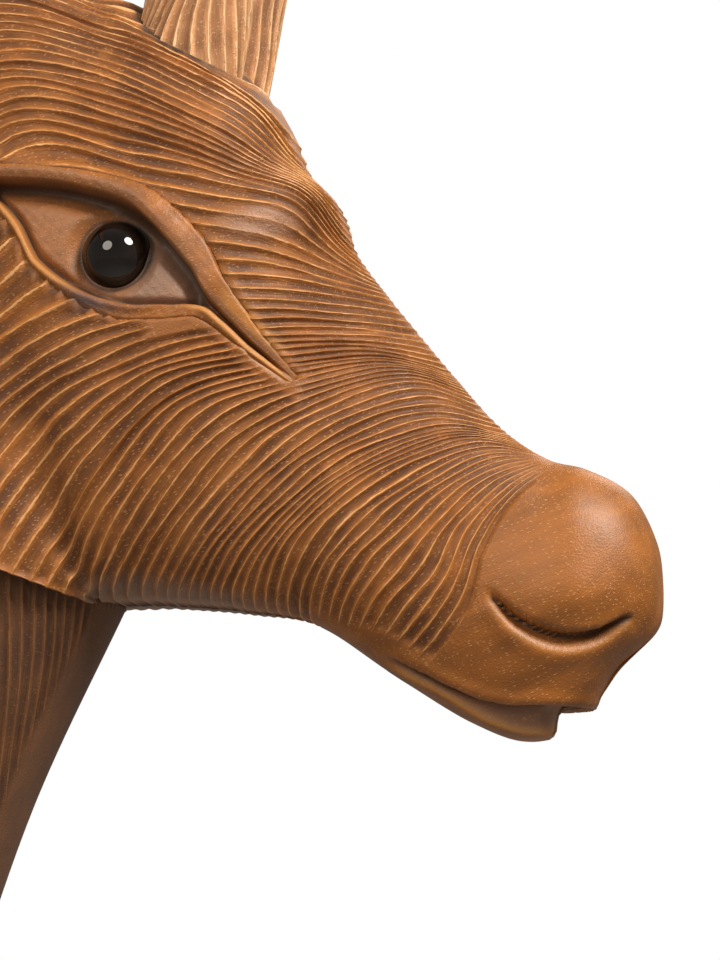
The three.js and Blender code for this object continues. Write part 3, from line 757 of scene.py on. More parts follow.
def face_relief(x, z):
    """Height of the face features, how far strokes are allowed, and colour facts, per point."""
    height, facts = eye_relief(x, z)
    p, q, upper, lower, inward = eye_place(x, z)
    fade = 1.6 + 1.8 * ramp(p, 24, 40) * (q > upper)
    allow = ramp(-inward, -0.6, fade)

    behind, tip_side, tip_share = to_curve(x, z, LEAF_TIPS)
    band = (x > -62) & (x < -12) & (z < 56) & (inward < 1) & (tip_share > 0.005)
    right_of_tips = np.where(tip_side > 0, 1 - ramp(behind, 0.5, 2.5), 1.0)
    allow *= np.where(band & (q < lower), right_of_tips, 1)

    worn = bump(np.hypot((x + 27) / 15, (z - 79) / 6.5), 1.0)
    facts["worn"] = ramp(worn, 0.3, 0.8)
    facts["dusty"] = facts["dusty"] + 0.5 * facts["worn"]
    allow *= 1 - 0.6 * facts["worn"]

    limit = np.interp(x, *zip(*LEAF_ENDS))
    allow *= np.where(x > -16, ramp(z - limit, -1.5, 3.0), 1)

    distance, side, share_along = to_curve(x, z, MOUTH)
    slope = 1.6 + 5.0 * ramp(share_along, 0.25, 0.8)
    live = ramp(share_along, 0.0, 0.12)
    height += undercut(distance, side, slope, 4.4) * live
    height += 1.3 * bump(distance - 2.6, 2.2) * live * (side > 0)
    height += 0.8 * bump(distance - slope - 1.0, 1.4) * live * (side < 0)
    # Painted highlight on the rim of the lower lip.
    rim = bump(distance - slope, 0.8) * live * (side < 0)
    facts["painted_highlight"] = facts["painted_highlight"] + 0.7 * rim
    # Painted shade just under the upper lip.
    facts["sooty"] = facts["sooty"] + 0.75 * bump(distance - 0.3, 0.9) * live * (side < 0)
    # A greyish painted shade on the floor of the mouth cut.
    facts["dusty"] = facts["dusty"] + 0.6 * (distance < slope) * (side < 0) * live
    height -= 3.5 * ramp(x, 62, 70) * ramp(-z, 79, 82)
    height -= 1.8 * bump(np.hypot((x - 88) / 10, (z + 67) / 8), 1.0)

    distance, side, share_along = to_curve(x, z, NOSTRIL)
    belly = np.sin(math.pi * np.clip(share_along, 0.0, 1.0))
    open_width = 0.8 + 3.8 * belly ** 1.4
    height += undercut(distance, side, open_width, 5.2) * np.clip(belly * 2.4, 0, 1) ** 0.6
    height += 0.7 * bump(distance - open_width - 2.2, 3.4) * (side < 0) * ramp(belly, 0, 0.3)
    height += 1.8 * bump(np.hypot((x - 72) / 15, (z + 44) / 10), 1.0)
    lower_rim = bump(distance - open_width - 0.4, 0.9) * (side < 0) * (belly > 0.04)
    deep_corner = bump(distance - 0.5, 0.5 + 0.9 * belly) * (belly > 0.03) * (side < 0)
    # Painted highlight on the nostril's lower rim.
    facts["painted_highlight"] = facts["painted_highlight"] + 0.3 * lower_rim
    # Painted shade in the nostril's deep corner.
    facts["sooty"] = facts["sooty"] + 0.85 * deep_corner

    height -= 9.0 * ramp(inward, 0.8, 4.0)
    for label in facts:
        facts[label] = np.clip(facts[label], 0, 1)
    return height, np.clip(allow, 0, 1), facts


# %% [markdown]
# Three features are shaped after the plain skin. The brow ends in a knob beside the crest, which
# shows past the forehead from the other side. The forehead swells just in front of the horns. And
# the crown wood is drawn up round each horn, with a ragged dark seam where the horn is let in.

# %% Brow knob and horn seat
HORN_ROOT = np.array([-59.0, 17.0, 128.0])
HORN_TIP = np.array([-31.0, 25.0, 276.0])
HORN_FORE = unit(np.cross(HORN_TIP - HORN_ROOT, np.array([0, 1.0, 0])))


def brow_knob(x, z):
    return bump(np.hypot((x + 17) / 12.5, (z - 89) / 12.5), 1.0)


def crown_front(x, z):
    return bump(np.hypot((x + 27) / 16, (z - 122) / 16), 1.0)


def horn_seat(points):
    """Lift and seam darkness round the left horn, from how far outside its oval a point lies."""
    away = points - HORN_ROOT
    ragged = 0.05 * ripple(points[..., 0] * 0.5, points[..., 2] * 0.5, 15)
    oval = np.hypot((away @ HORN_FORE) / 20, away[..., 1] / 14.4) + ragged
    upper = ramp(points[..., 2], 100, 115)
    return 1.4 * bump(oval - 1.35, 0.32) * upper, 0.95 * bump(oval - 1.05, 0.09) * upper


print("horn length", round(float(np.linalg.norm(HORN_TIP - HORN_ROOT))), "mm")

# %% [markdown]
# ### Cutting the strokes
# A stroke is deepest where strokes are widest apart and fades to nothing where they crowd together
# at the crest. Each stroke has its own depth, and short stretches of ridge are lower, as if the
# gouge had slipped into its neighbour.

# %% Stroke relief


def across_profile(number):
    """Depth share across a stroke: 0 on the sharp ridge, 1 on the floor, from the fraction."""
    fraction = number - np.floor(number)
    from_ridge = np.minimum(fraction, 1 - fraction)
    return 1 - (1 - np.clip(from_ridge * 2, 0, 1)) ** 3.2


def stroke_relief(number, t, spacing, seed, deepest=1.45, share_of_spacing=0.31):
    """Height of the cuts in mm: deepest in wide strokes, uneven along and from stroke to stroke."""
    draw = np.random.default_rng(seed)
    whole = np.floor(number).astype(int)
    own = draw.uniform(0.7, 1.15, whole.max() + 2)[whole]
    depth = np.minimum(deepest, spacing * share_of_spacing) * own
    ridge_drop = ramp(ripple(np.round(number) * 2.1, t * 16, seed + 1), 0.45, 0.95) * 0.45
    uneven = 1 + 0.22 * ripple(number * 0.9, t * 22, seed + 2)
    share = across_profile(number)
    return -depth * (share * uneven + (1 - share) * ridge_drop)


side_x, side_z, side_width = head_point(station, angle)
left = np.stack([side_x, side_width, side_z], axis=-1)
left = left + brow_knob(side_x, side_z)[..., None] * np.array([5.0, 3.3, 3.4])
left = left + crown_front(side_x, side_z)[..., None] * np.array([4.2, 0.0, 2.6])
apart = np.linalg.norm(np.roll(left, -6, axis=0) - left, axis=-1)
apart[-7:] = apart[-8]
apart = np.minimum(apart, 9.0)
relief, allow, facts = face_relief(side_x, side_z)
under_jaw = ramp(angle, 2.72, 2.95) * ramp(station, 7, 8.5)
# A greyish painted shade on the underside of the jaw.
facts["dusty"] = np.clip(facts["dusty"] + 0.85 * under_jaw, 0, 1)
collar, seam = horn_seat(left)
relief = relief + collar
facts["sooty"] = np.clip(facts["sooty"] + seam, 0, 1)
spread = ramp(apart, 0.8, 1.7) * (0.35 + 0.65 * ramp(angle, 0.03, 0.24))
carved = allow * spread * (numbers > 0)[:, None]
carved = carved * (1 - 0.75 * ramp(along_t, 0.985, 1.0))[None, :]
cut = stroke_relief(np.repeat(numbers[:, None], HALF_ROWS, axis=1), along_t[None, :], apart, 21) * carved
cut = cut + 0.35 * facts["worn"] * ripple(side_x * 1.7, side_z * 2.3, 5)
print("deepest stroke", round(float(-cut.min()), 2), "mm")

# %% [markdown]
# The left side is worked out and the right side is its mirror image. A middle row closes the flat
# joint face under the head. Heights are measured along the skin's own normals.

# %% Build the head


def both_sides(values, middle_row):
    """Ring of the left side from top to bottom, a middle value, and the right side back up."""
    return np.concatenate([values, middle_row, values[:, :0:-1]], axis=1)


mirror = np.array([1.0, -1.0, 1.0])
under = left[:, -1:] * np.array([1.0, 0.0, 1.0])
rings = np.concatenate([left, under, (left * mirror)[:, :0:-1]], axis=1)
normals = skin_normals(rings)
lift = relief + cut
on_jaw = angle[:, -1:] > math.pi - 1e-6
lift_mm = both_sides(lift, np.where(on_jaw, lift[:, -1:], 0.0))
rings = (rings + normals * lift_mm[..., None]) * MM + DATUM
ring_facts = {label: both_sides(values, values[:, -1:]) for label, values in facts.items()}
ring_facts["strength"] = both_sides(carved, carved[:, -1:])
ring_facts["stroke"] = both_sides(np.repeat(numbers[:, None], HALF_ROWS, axis=1), numbers[:, None])
steps = np.linalg.norm(np.diff(left, axis=1, prepend=left[:, :1]), axis=-1)
travel = np.cumsum(steps, axis=1) * MM
ring_facts["travel"] = both_sides(travel, travel[:, -1:])
skin("carved_head", rings, ring_facts, head_wood, "head")

# %% [markdown]
# ### Around the eyes
# The lids, the brow edge and the tear groove are the sharpest carving on the statue, finer than the
# coat. They get their own skin whose mesh lines run along the lids, laid over a pit sunk in
# the head. It follows the same plain head surface and the same relief.

# %% Eye surrounds


def head_width(x, z):
    station, angle = find_on_head(x, z)
    return head_point(station, angle)[2]


def eye_surround(side_name, side):
    """Rows across the eye line from above the brow edge to below the lower lid, closed behind."""
    p = np.linspace(LIDS[0, 0], LIDS[-1, 0], 210)
    upper, lower, above, below = np.moveaxis(between(LIDS[:, 0], LIDS[:, 1:], p), -1, 0)
    to_brow = (1 - np.linspace(0, 1, 16)[:-1] ** 0.8)[:, None]
    across = ((1 - np.cos(np.linspace(0, math.pi, 46))) / 2)[:-1, None]
    to_cheek = np.linspace(0, 1, 16)[:, None] ** 1.25
    q = np.concatenate([upper + above * to_brow, upper + (lower - upper) * across, lower - below * to_cheek])
    x = EYE_MIDDLE[0] + p * EYE_AXIS[0] - q * EYE_AXIS[1]
    z = EYE_MIDDLE[1] + p * EYE_AXIS[1] + q * EYE_AXIS[0]
    width = head_width(x, z)
    slope_x = (head_width(x + 1, z) - head_width(x - 1, z)) / 2
    slope_z = (head_width(x, z + 1) - head_width(x, z - 1)) / 2
    normals = unit(np.stack([-slope_x, np.ones(x.shape), -slope_z], -1))
    height, facts = eye_relief(x, z)
    inward = eye_place(x, z)[-1]
    height = height - 0.9 * (1 - ramp(inward, 0, 1.3)) + 0.10 * ripple(x * 0.9, z * 1.3, 91 + side)
    front = np.stack([x, width, z], -1) + normals * height[..., None]
    thick = 4.0 * np.sin(math.pi * np.linspace(0, 1, len(q)))[:, None, None] ** 0.3
    back = front - normals * thick
    mirrored = np.array([1, side, 1])
    rings = np.concatenate([front, back[:, ::-1]], axis=1) * mirrored * MM + DATUM
    ring_facts = {k: np.clip(np.concatenate([v, v[:, ::-1]], axis=1), 0, 1) for k, v in facts.items()}
    return skin("eye_surround_" + side_name, rings, ring_facts, head_wood, "head")


for side_name, side in (("left", 1), ("right", -1)):
    eye_surround(side_name, side)

# %% [markdown]
# ## Carving a body
# Neck, torso, legs, tail and ears are worked the same way: strokes run slantwise round the piece
# and meet in a chevron along its front and back. A ring of the mesh follows one stroke, so that the
# cuts stay clean. Where a slanted ring would pass an end of the piece it is held at that end.

# %% A slant-carved body


def carved_body(name, surface, length, slant, pitch, around, smooth_share, material, node,
                deepest=1.2, seed=1, wander=0.3, dusty=np.zeros_like, sooty=np.zeros_like):
    """Closed skin of surface(along, turn) in mm, along in 0..length and turn in 0..1 round it.

    Stroke n lies where along = first + n * pitch + slant(turn). Its cut is a depth below the
    surface, times smooth_share(along, turn), which is 0 on plain places.
    """
    turn = np.arange(around) / around
    shift = slant(turn)
    first = -shift.max()
    count = int(math.ceil((length - shift.min() - first) / pitch))
    phases = np.array([0, 0.12, 0.36, 0.64, 0.88])
    number = np.append((np.arange(count)[:, None] + phases).reshape(-1), count)
    drift = wander * ripple(number[:, None] * 0.4, np.minimum(turn, 1 - turn)[None, :] * 26, seed, 2)
    free = first + (number[:, None] + drift) * pitch + shift
    along = np.clip(free, 0, length)
    turns = np.broadcast_to(turn, along.shape)
    skin_mm = surface(along, turns)
    step = 0.002
    up = surface(np.minimum(along + 1, length), turns) - surface(np.maximum(along - 1, 0), turns)
    side = surface(along, turns + step) - surface(along, turns - step)
    normals = unit(np.cross(side, up))
    middle = skin_mm.mean(axis=1, keepdims=True)
    if np.sum(normals * (skin_mm - middle)) < 0:
        normals = -normals
    strength = smooth_share(along, turns) * ramp(along, 0, 3) * (1 - ramp(along, length - 3, length))
    true_number = np.where(along == free, number[:, None], (along - shift - first) / pitch - drift)
    across = np.linalg.norm(np.cross(unit(side), np.gradient(free, number, axis=0)[..., None] * unit(up)),
                            axis=-1)
    round_step = np.linalg.norm(side, axis=-1).mean(0) / (2 * step * around)
    lean = np.abs(np.gradient(shift)) / np.maximum(round_step, 1e-6)
    across = across / np.sqrt(1 + lean**2)
    depth = stroke_relief(np.maximum(true_number, 0), turns, across, seed, deepest, 0.3)
    skin_mm = skin_mm + normals * (depth * strength)[..., None]
    start, end = skin_mm[:1].mean(axis=1, keepdims=True), skin_mm[-1:].mean(axis=1, keepdims=True)
    rings = np.concatenate([np.repeat(start, around, axis=1), skin_mm, np.repeat(end, around, axis=1)])
    travel = np.abs(1 - 2 * turns) * np.linalg.norm(side, axis=-1) / (4 * step) * MM
    facts = {"strength": strength, "stroke": true_number, "travel": travel}
    facts.update(dusty=dusty(turns), sooty=sooty(along))
    facts = {label: np.pad(values, ((1, 1), (0, 0)), "edge") for label, values in facts.items()}
    return skin(name, rings * MM, facts, material, node)


def chevron(turn, reach):
    """How far a stroke has run along the piece: 0 where turn is 0, reach half way round."""
    return reach * (1 - np.abs(1 - 2 * turn))


print("a chevron of 100 mm at each quarter turn", chevron(np.arange(4) / 4, 100.0))


# %% [markdown]
# ## Neck and torso
# Both are fans of sections like the head, on the same stations as the solids. Only the top of the
# neck differs: it runs a little way up into the head and is deeper at the throat.

# %% A fan of sections as a surface
body_wood = carved_wood("Body wood", (0.28, 0.092, 0.014), (0.08, 0.025, 0.006), (0.50, 0.235, 0.095),
                        0.5, 0.5)
DRAWN_DATUM_X = 636                    # where the body's own numbers put the head datum
SHIFT_X = DATUM[0] / MM - DRAWN_DATUM_X


def fan_surface(top, bottom, half, widest, crest, keel, stations):
    """Surface of flat sections between a top and a bottom line, read by distance along them."""
    centre = (top + bottom) / 2
    fine = np.linspace(0, stations - 1, 400)
    length = length_along(read_stations(centre, fine))
    table = np.column_stack([top, bottom, half, widest, crest, keel])

    def surface(along, turn):
        place = np.interp(along, length, fine)
        row = np.moveaxis(read_stations(table, place), -1, 0)
        top_x, top_z, low_x, low_z, wide, level, blunt, sharp = row
        theta = 2 * math.pi * turn
        upper = np.cos(theta) >= 0
        down = np.where(upper, level * (1 - np.cos(theta)), level - (1 - level) * np.cos(theta))
        swing = np.abs(np.sin(theta))
        out = np.maximum(wide, 0) * swing ** np.where(upper, blunt, sharp) * np.sign(np.sin(theta))
        return np.stack([top_x + (low_x - top_x) * down + SHIFT_X, out, top_z + (low_z - top_z) * down], -1)

    return surface, length[-1]


def square(vector):
    """The vector turned a quarter to the left."""
    return np.array([-vector[1], vector[0]]) / np.linalg.norm(vector)


print("body shifted", round(float(SHIFT_X), 1), "mm along x to meet the head")

# %% [markdown]
# Neck strokes hang steeply from the nape and stop short of a plain strip down the throat, which gets a
# greyish wash. The top of the neck under the head is darkened with painted shade.

# %% Neck
INTO_HEAD = 4                          # how far the neck runs up into the head
THROAT_FLARE = 7                       # extra depth of the throat where it meets the jaw


def neck_sections(count=11):
    """Sections square to a cubic curve from the torso joint to a little way into the head."""
    foot_top, foot_low = np.array([128.0, 1198.0]), np.array([306.0, 1095.0])
    head_top, head_low = np.array([426.0, 1775.0]), np.array([549.0, 1728.0])
    foot = (foot_top + foot_low) / 2 + 0.3 * square(foot_low - foot_top)
    crown = (head_top + head_low) / 2 + INTO_HEAD * square(head_low - head_top)
    pull = [foot, foot + 190 * square(foot_low - foot_top), crown - 240 * square(head_low - head_top), crown]
    t = np.linspace(0, 1, count)[:, None]
    at = (1 - t)**3 * pull[0] + 3 * (1 - t)**2 * t * pull[1] + 3 * (1 - t) * t**2 * pull[2] + t**3 * pull[3]
    spans = [pull[i + 1] - pull[i] for i in range(3)]
    going = 3 * ((1 - t)**2 * spans[0] + 2 * (1 - t) * t * spans[1] + t**2 * spans[2])
    back = np.column_stack([-going[:, 1], going[:, 0]]) / np.linalg.norm(going, axis=1, keepdims=True)
    depth = 63 + 39 * (1 - t)**1.5
    half = 40 + 38 * (1 - t[:, 0])**1.6
    same = np.ones(count)
    nape = at + back * depth
    throat = at - back * (depth + THROAT_FLARE * (t > 0.99))
    return nape, throat, half, 0.52 * same, 0.85 * same, 0.95 * same, count


def from_front(turn):
    """0 on the throat line (turn a half), 1 on the nape line."""
    return np.abs(1 - 2 * turn)


neck_surface, neck_length = fan_surface(*neck_sections())
carved_body("carved_neck", neck_surface, neck_length, lambda turn: chevron(turn, -380.0) + 380, 9.6, 116,
            lambda along, turn: ramp(from_front(turn), 0.10, 0.125), body_wood, "neck", 1.1, 31,
            # A greyish wash on the plain throat strip.
            dusty=lambda turn: 0.3 * (1 - ramp(from_front(turn), 0.09, 0.12)),
            # Painted shade on the top of the neck, under the head.
            sooty=lambda along: 0.5 * ramp(along, neck_length - 300, neck_length - 120))

# %% [markdown]
# Torso strokes fall from the spine towards the belly, and the belly itself is left smoother.

# %% Torso
TORSO = np.array([
    [-282, 992, -282, 984, 0, 0.5, 1, 1],
    [-268, 1032, -270, 932, 60, 0.5, 1, 1],
    [-222, 1068, -228, 878, 95, 0.5, 0.9, 0.9],
    [-140, 1086, -140, 838, 116, 0.52, 0.9, 0.85],
    [-55, 1099, -30, 824, 124, 0.54, 0.95, 0.85],
    [15, 1117, 80, 828, 123, 0.54, 0.95, 0.85],
    [68, 1140, 180, 862, 116, 0.54, 0.9, 0.85],
    [102, 1162, 255, 922, 106, 0.53, 0.85, 0.9],
    [120, 1182, 295, 1005, 92, 0.52, 0.85, 0.95],
    [128, 1198, 306, 1095, 80, 0.52, 0.85, 0.95],
], float)
torso_surface, torso_length = fan_surface(TORSO[:, :2], TORSO[:, 2:4], *TORSO[:, 4:].T, len(TORSO))
carved_body("carved_torso", torso_surface, torso_length, lambda turn: chevron(turn, -240.0) + 240, 11.0, 150,
            lambda along, turn: ramp(from_front(turn), 0.04, 0.16), body_wood, "torso", 1.6, 37)

# %% [markdown]
# ## Legs
# A leg is a stack of ovals: shoulder or thigh, knee or hock, fetlock and hoof. The hoof is plain
# and darker, cloven by a groove down its front, and the coat strokes start above it.

# %% Legs
hoof_wood = carved_wood("Hoof wood", (0.10, 0.042, 0.02), (0.03, 0.012, 0.006), (0.22, 0.11, 0.06), 0.5, 0.4)
LEG_TOP = 935
LEG_Y = 60                             # from the middle plane to a leg's top
LEG_SPLAY = 12                         # how much farther out the hoof stands
HOOF_TOP = 0.046                       # metres
FRONT_LEG = [
    (0, 8, 37, 28), (38, 4, 31, 25), (66, 0, 22, 19), (104, 0, 25, 21), (150, 0, 20, 17),
    (290, 0, 20.5, 17.5), (400, 1, 27, 23), (450, 3, 32, 26), (500, 1, 29, 24), (600, -2, 32, 26),
    (720, -5, 42, 32), (820, -8, 54, 38), (LEG_TOP, -8, 58, 41),
]
BACK_LEG = [
    (0, 10, 37, 28), (38, 6, 31, 25), (66, 0, 22, 19), (104, -3, 25, 21), (150, -6, 21, 17),
    (290, -14, 22, 18), (400, -22, 28, 22), (450, -24, 33, 24), (500, -17, 32, 24),
    (600, -4, 38, 28), (720, 5, 52, 34), (820, 8, 64, 40), (LEG_TOP, 8, 66, 42),
]


def leg_surface(levels, x, side):
    levels = np.array(levels, float)
    fine = np.linspace(0, len(levels) - 1, 300)
    heights = read_stations(levels[:, 0], fine)

    def surface(along, turn):
        height, shift, half_along, half_across = np.moveaxis(
            read_stations(levels, np.interp(along, heights, fine)), -1, 0)
        angle = 2 * math.pi * turn
        cleft = 2.6 * bump(np.sin(angle / 2) * 2.2, 0.16) * (1 - ramp(height, 34, 50))
        across = LEG_Y + LEG_SPLAY * (1 - height / LEG_TOP) + half_across * np.sin(angle)
        fore = x + SHIFT_X + shift + (half_along - cleft) * np.cos(angle)
        return np.stack([fore, side * across, height], -1)

    return surface


def carve_leg(which, side_name, levels, x, side, seed):
    node = f"leg_{which}_{side_name}"
    leg = carved_body("carved_" + node, leg_surface(levels, x, side), LEG_TOP,
                      lambda turn: 150 * from_front(turn), 11.0, 60,
                      lambda along, turn: ramp(along, 44, 52), body_wood, node, 0.9, seed)
    leg.data.materials.append(hoof_wood)
    height = np.zeros(len(leg.data.polygons) * 3)
    leg.data.polygons.foreach_get("center", height)
    leg.data.polygons.foreach_set("material_index", (height[2::3] < HOOF_TOP).astype(int))
    return leg


for side_name, side in (("left", 1), ("right", -1)):
    carve_leg("front", side_name, FRONT_LEG, 172, side, 41 + side)
    carve_leg("back", side_name, BACK_LEG, -178, side, 51 + side)

# %% [markdown]
# ## Horns
# A horn is a thick stem of a lighter, amber wood with a rounded knob. It is grooved lengthwise by
# hand: the grooves waver and pale ridges stand between them.

# %% Horns
amber_wood = carved_wood("Amber wood", (0.52, 0.235, 0.085), (0.20, 0.075, 0.022), (0.86, 0.58, 0.33),
                         0.85, 0.4)


def horn(side_name, side):
    """Ovals along a straight axis, their radius read from stations, with lengthwise grooves."""
    root = HORN_ROOT * np.array([1, side, 1])
    tip = HORN_TIP * np.array([1, side, 1])
    radii = [20, 19.5, 19, 18.5, 18.5, 21, 23, 20.5, 14, 1]
    grooves = 26
    turn = (np.arange(grooves)[:, None] + np.array([0, 0.12, 0.36, 0.64, 0.88])).reshape(-1)
    rows = np.linspace(0, 1, 110)
    rows = (rows + 0.06 * np.sin(2 * math.pi * rows))[:, None]
    wander = 1.1 * ripple(rows * 7, turn[None, :] * 0.3, 61 + side, 2)
    angle = (turn[None, :] + wander) * 2 * math.pi / grooves
    fore = unit(np.cross(tip - root, np.array([0, 1.0, 0])))
    radius = read_stations(radii, rows * 9)
    across = np.array([0, 1.0, 0])
    points = root + (tip - root) * rows[..., None]
    points = points + (radius * 0.62 + 2)[..., None] * np.sin(angle)[..., None] * across
    points = points + radius[..., None] * np.cos(angle)[..., None] * fore
    fade = (1 - ramp(rows, 0.9, 0.98)) * np.ones(turn.shape)
    cut = stroke_relief(turn[None, :] * np.ones(rows.shape), rows, np.full(turn.shape, 3.0), 63, 1.6, 0.5)
    out = unit(points - (root + (tip - root) * rows[..., None]))
    points = points + out * (cut * fade)[..., None]
    ends = [np.repeat(points[[i]].mean(axis=1, keepdims=True), len(turn), axis=1) for i in (0, -1)]
    rings = np.concatenate([ends[0], points, ends[1]]) * MM + DATUM
    facts = {"strength": np.pad(fade, ((1, 1), (0, 0)), "edge"), "stroke": turn[None, :],
             "travel": np.pad(rows * 0.15, ((1, 1), (0, 0)), "edge")}
    return skin("carved_horn_" + side_name, rings, facts, amber_wood, "horn_" + side_name)


for side_name, side in (("left", 1), ("right", -1)):
    horn(side_name, side)

# %% [markdown]
# ## Ears
# An ear is a leaf-shaped cup. Its back carries fine strokes from the middle rib to the rim. The
# hollow side faces forward, and its strokes are only a third as strong.

# %% Ears
EAR_LENGTH = 128.0


def ear_surface(side):
    root = np.array([-128.0, 34.0, 150.0])
    reach = unit(np.array([-0.22, 0.9, 0.3]))
    hollow = np.array([1, 0.25, -0.1])
    hollow = unit(hollow - (hollow @ reach) * reach)
    wide = np.cross(reach, hollow)
    breadth = [8, 13, 21, 25, 24, 18, 9, 0.6]

    def surface(along, turn):
        t = along / EAR_LENGTH
        angle = 2 * math.pi * turn
        half = read_stations(breadth, t * 7)
        thick = 6 * (1 - 0.65 * t) * np.minimum(half / 6, 1)
        curl = 11 * (np.cos(angle)**2 - 0.4) * np.sin(math.pi * np.minimum(t * 1.1, 1))
        point = (root + along[..., None] * reach + (half * np.cos(angle))[..., None] * wide
                 + (thick * np.sin(angle) + curl)[..., None] * hollow)
        return point * np.array([1, side, 1]) + DATUM / MM

    return surface


for side_name, side in (("left", 1), ("right", -1)):
    carved_body("carved_ear_" + side_name, ear_surface(side), EAR_LENGTH,
                lambda turn: 16 * np.cos(4 * math.pi * turn), 4.2, 120,
                lambda along, turn: ramp(along, 6, 14) * np.where(turn > 0.5, 1.0, 0.35),
                head_wood, "ear_" + side_name, 0.7, 71 + side)

# %% [markdown]
# ## Tail
# The tail hangs from the rump: a round stem that swells into a tuft, with slanting cuts on both.

# %% Tail
TAIL_LENGTH = 496.0


def tail_surface(along, turn):
    path = np.array([(-246, 1034), (-282, 1026), (-305, 985), (-311, 900), (-309, 790),
                     (-303, 690), (-300, 610), (-298, 560)], float)
    fine = np.linspace(0, 7, 300)
    line = read_stations(path, fine)
    length = length_along(line)
    here = np.interp(along, length, fine)
    at = read_stations(path, here)
    ahead = read_stations(path, np.minimum(here + 0.02, 7))
    going = unit(ahead - read_stations(path, np.maximum(here - 0.02, 0)))
    radius = read_stations([10, 10.5, 10.5, 9.5, 8.5, 7.5, 8, 14, 17, 14, 3], along / length[-1] * 10)
    angle = 2 * math.pi * turn
    fore = radius * np.cos(angle)
    return np.stack([at[..., 0] - going[..., 1] * fore + SHIFT_X, radius * np.sin(angle),
                     at[..., 1] + going[..., 0] * fore], -1)


carved_body("carved_tail", tail_surface, TAIL_LENGTH, lambda turn: 46 * from_front(turn), 8.0, 56,
            lambda along, turn: ramp(along, 30, 40), body_wood, "tail", 0.9, 81)

# %% [markdown]
# ## Dowels
# The hidden dowels keep their solid shape. They are plain, pale, straight-grained beech.

# %% Dowels
peg_wood = carved_wood("Peg wood", (0.55, 0.36, 0.19), (0.3, 0.18, 0.09), (0.7, 0.5, 0.3), 0.0, 0.6, 0.2, 0.2)
for node, cad_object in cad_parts.items():
    if node.startswith("dowel"):
        cad_object.data.materials.clear()
        cad_object.data.materials.append(peg_wood)
        print(node, "keeps its solid")

# %% [markdown]
# ## Glass eyes
# Each eye is a polished ball, almost black with a trace of brown, and a plain sphere in shape. The
# thin dark ring round it is painted shade on the carved skin round the eye, where the ball meets the wood.

# %% Eyes


def glass_eye_material():
    material = bpy.data.materials.new("Eye glass")
    material.use_nodes = True
    tree = material.node_tree
    shader = tree.nodes["Principled BSDF"]
    place = tree.nodes.new("ShaderNodeTexCoord").outputs["Object"]
    swirl = step_between(tree, noise(tree, place, 120.0, 3.0), 0.35, 0.7)
    colour = blend_colour(tree, swirl, (0.002, 0.0015, 0.0015, 1), (0.009, 0.005, 0.004, 1))
    feed(tree, shader.inputs["Base Color"], colour)
    smear = step_between(tree, noise(tree, place, 60.0, 4.0), 0.5, 0.8, 0.03, 0.10)
    feed(tree, shader.inputs["Roughness"], smear)
    shader.inputs["IOR"].default_value = 1.52
    return material


def eye(node, material):
    """A sphere through the middle of the CAD ball: rings of circles from pole to pole."""
    low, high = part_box(node)
    centre = (np.array(low) + np.array(high)) / 2
    radius = (high.z - low.z) / 2
    latitude = np.linspace(0, math.pi, 49)[:, None]
    longitude = np.linspace(0, 2 * math.pi, 96, endpoint=False)[None, :]
    rings = np.stack([
        np.sin(latitude) * np.cos(longitude),
        np.cos(latitude) * np.ones_like(longitude),
        np.sin(latitude) * np.sin(longitude),
    ], axis=-1) * radius + centre
    return skin(node.replace("eye", "glass_eye"), rings, {}, material, node)


eye_material = glass_eye_material()
for node in ("eye_left", "eye_right"):
    eye(node, eye_material)

# %% [markdown]
# ## Studio
# A pale floor, white surroundings, a large soft key light from above and in front, a weaker fill
# and a warm light from behind the head.

# %% Floor, lights, surroundings


def soft_light(name, place, aim, size, power, colour):
    light = bpy.data.lights.new(name, "AREA")
    light.shape = "DISK"
    light.size = size
    light.energy = power
    light.color = colour
    lamp = bpy.data.objects.new(name, light)
    lamp.location = place
    towards = np.array(aim) - np.array(place)
    lamp.rotation_euler = Vector(towards).to_track_quat("-Z", "Y").to_euler()
    bpy.context.scene.collection.objects.link(lamp)
    return lamp


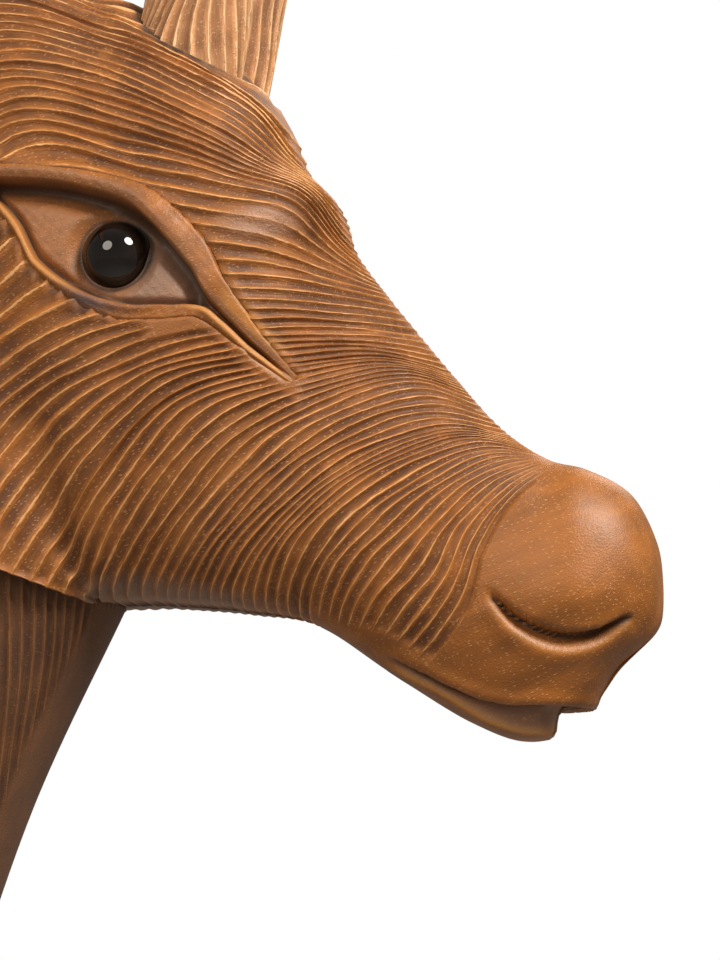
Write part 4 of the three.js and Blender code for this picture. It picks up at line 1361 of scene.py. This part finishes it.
def pale_floor():
    mesh = bpy.data.meshes.new("floor")
    reach = 6.0
    mesh.from_pydata([(-reach, -reach, 0), (reach, -reach, 0), (reach, reach, 0), (-reach, reach, 0)],
                     [], [(0, 1, 2, 3)])
    floor = bpy.data.objects.new("floor", mesh)
    material = bpy.data.materials.new("Pale floor")
    material.use_nodes = True
    shader = material.node_tree.nodes["Principled BSDF"]
    shader.inputs["Base Color"].default_value = (0.8, 0.79, 0.78, 1)
    shader.inputs["Roughness"].default_value = 0.8
    mesh.materials.append(material)
    bpy.context.scene.collection.objects.link(floor)


def white_surroundings():
    world = bpy.data.worlds.new("White studio")
    world.use_nodes = True
    tree = world.node_tree
    background = tree.nodes["Background"]
    seen = tree.nodes.new("ShaderNodeLightPath").outputs["Is Camera Ray"]
    feed(tree, background.inputs["Color"], blend_colour(tree, seen, (0.86, 0.80, 0.72, 1), (1, 1, 1, 1)))
    feed(tree, background.inputs["Strength"], step_between(tree, seen, 0.0, 1.0, 0.3, 1.0))
    bpy.context.scene.world = world


pale_floor()
white_surroundings()
face = DATUM + np.array([0.0, 0.0, 0.03])
soft_light("key", face + np.array([0.85, -0.62, 0.95]), face, 0.6, 30, (1.0, 0.95, 0.87))
soft_light("fill", face + np.array([-0.45, -1.2, 0.6]), face, 0.7, 8, (1.0, 0.91, 0.80))
soft_light("rim", face + np.array([0.3, 0.9, 0.7]), face, 0.5, 2.5, (1.0, 0.9, 0.78))
print("three soft lights aimed at", np.round(face, 2))

# %% [markdown]
# ## Camera
# The picture looks at the right side of the head from a little in front and a little below, close
# enough that only the head, the root of a horn and the top of the neck are in it.

# %% Camera
AZIMUTH = math.radians(12)
ELEVATION = math.radians(-9)
DISTANCE = 0.9
PICTURE_HEIGHT = 0.3216          # height of the view at that distance
camera_data = bpy.data.cameras.new("camera")
camera = bpy.data.objects.new("camera", camera_data)
towards_camera = np.array([
    math.sin(AZIMUTH) * math.cos(ELEVATION),
    -math.cos(AZIMUTH) * math.cos(ELEVATION),
    math.sin(ELEVATION),
])
camera.location = DATUM + towards_camera * DISTANCE
camera.rotation_euler = Vector(-towards_camera).to_track_quat("-Z", "Y").to_euler()
camera_data.sensor_width = 36.0
camera_data.lens = 36.0 * DISTANCE / PICTURE_HEIGHT
camera_data.clip_start = 0.05
bpy.context.scene.collection.objects.link(camera)
bpy.context.scene.camera = camera
bpy.context.scene.view_settings.view_transform = "Standard"
print("camera", round(camera_data.lens), "mm lens at", np.round(camera.location, 2))
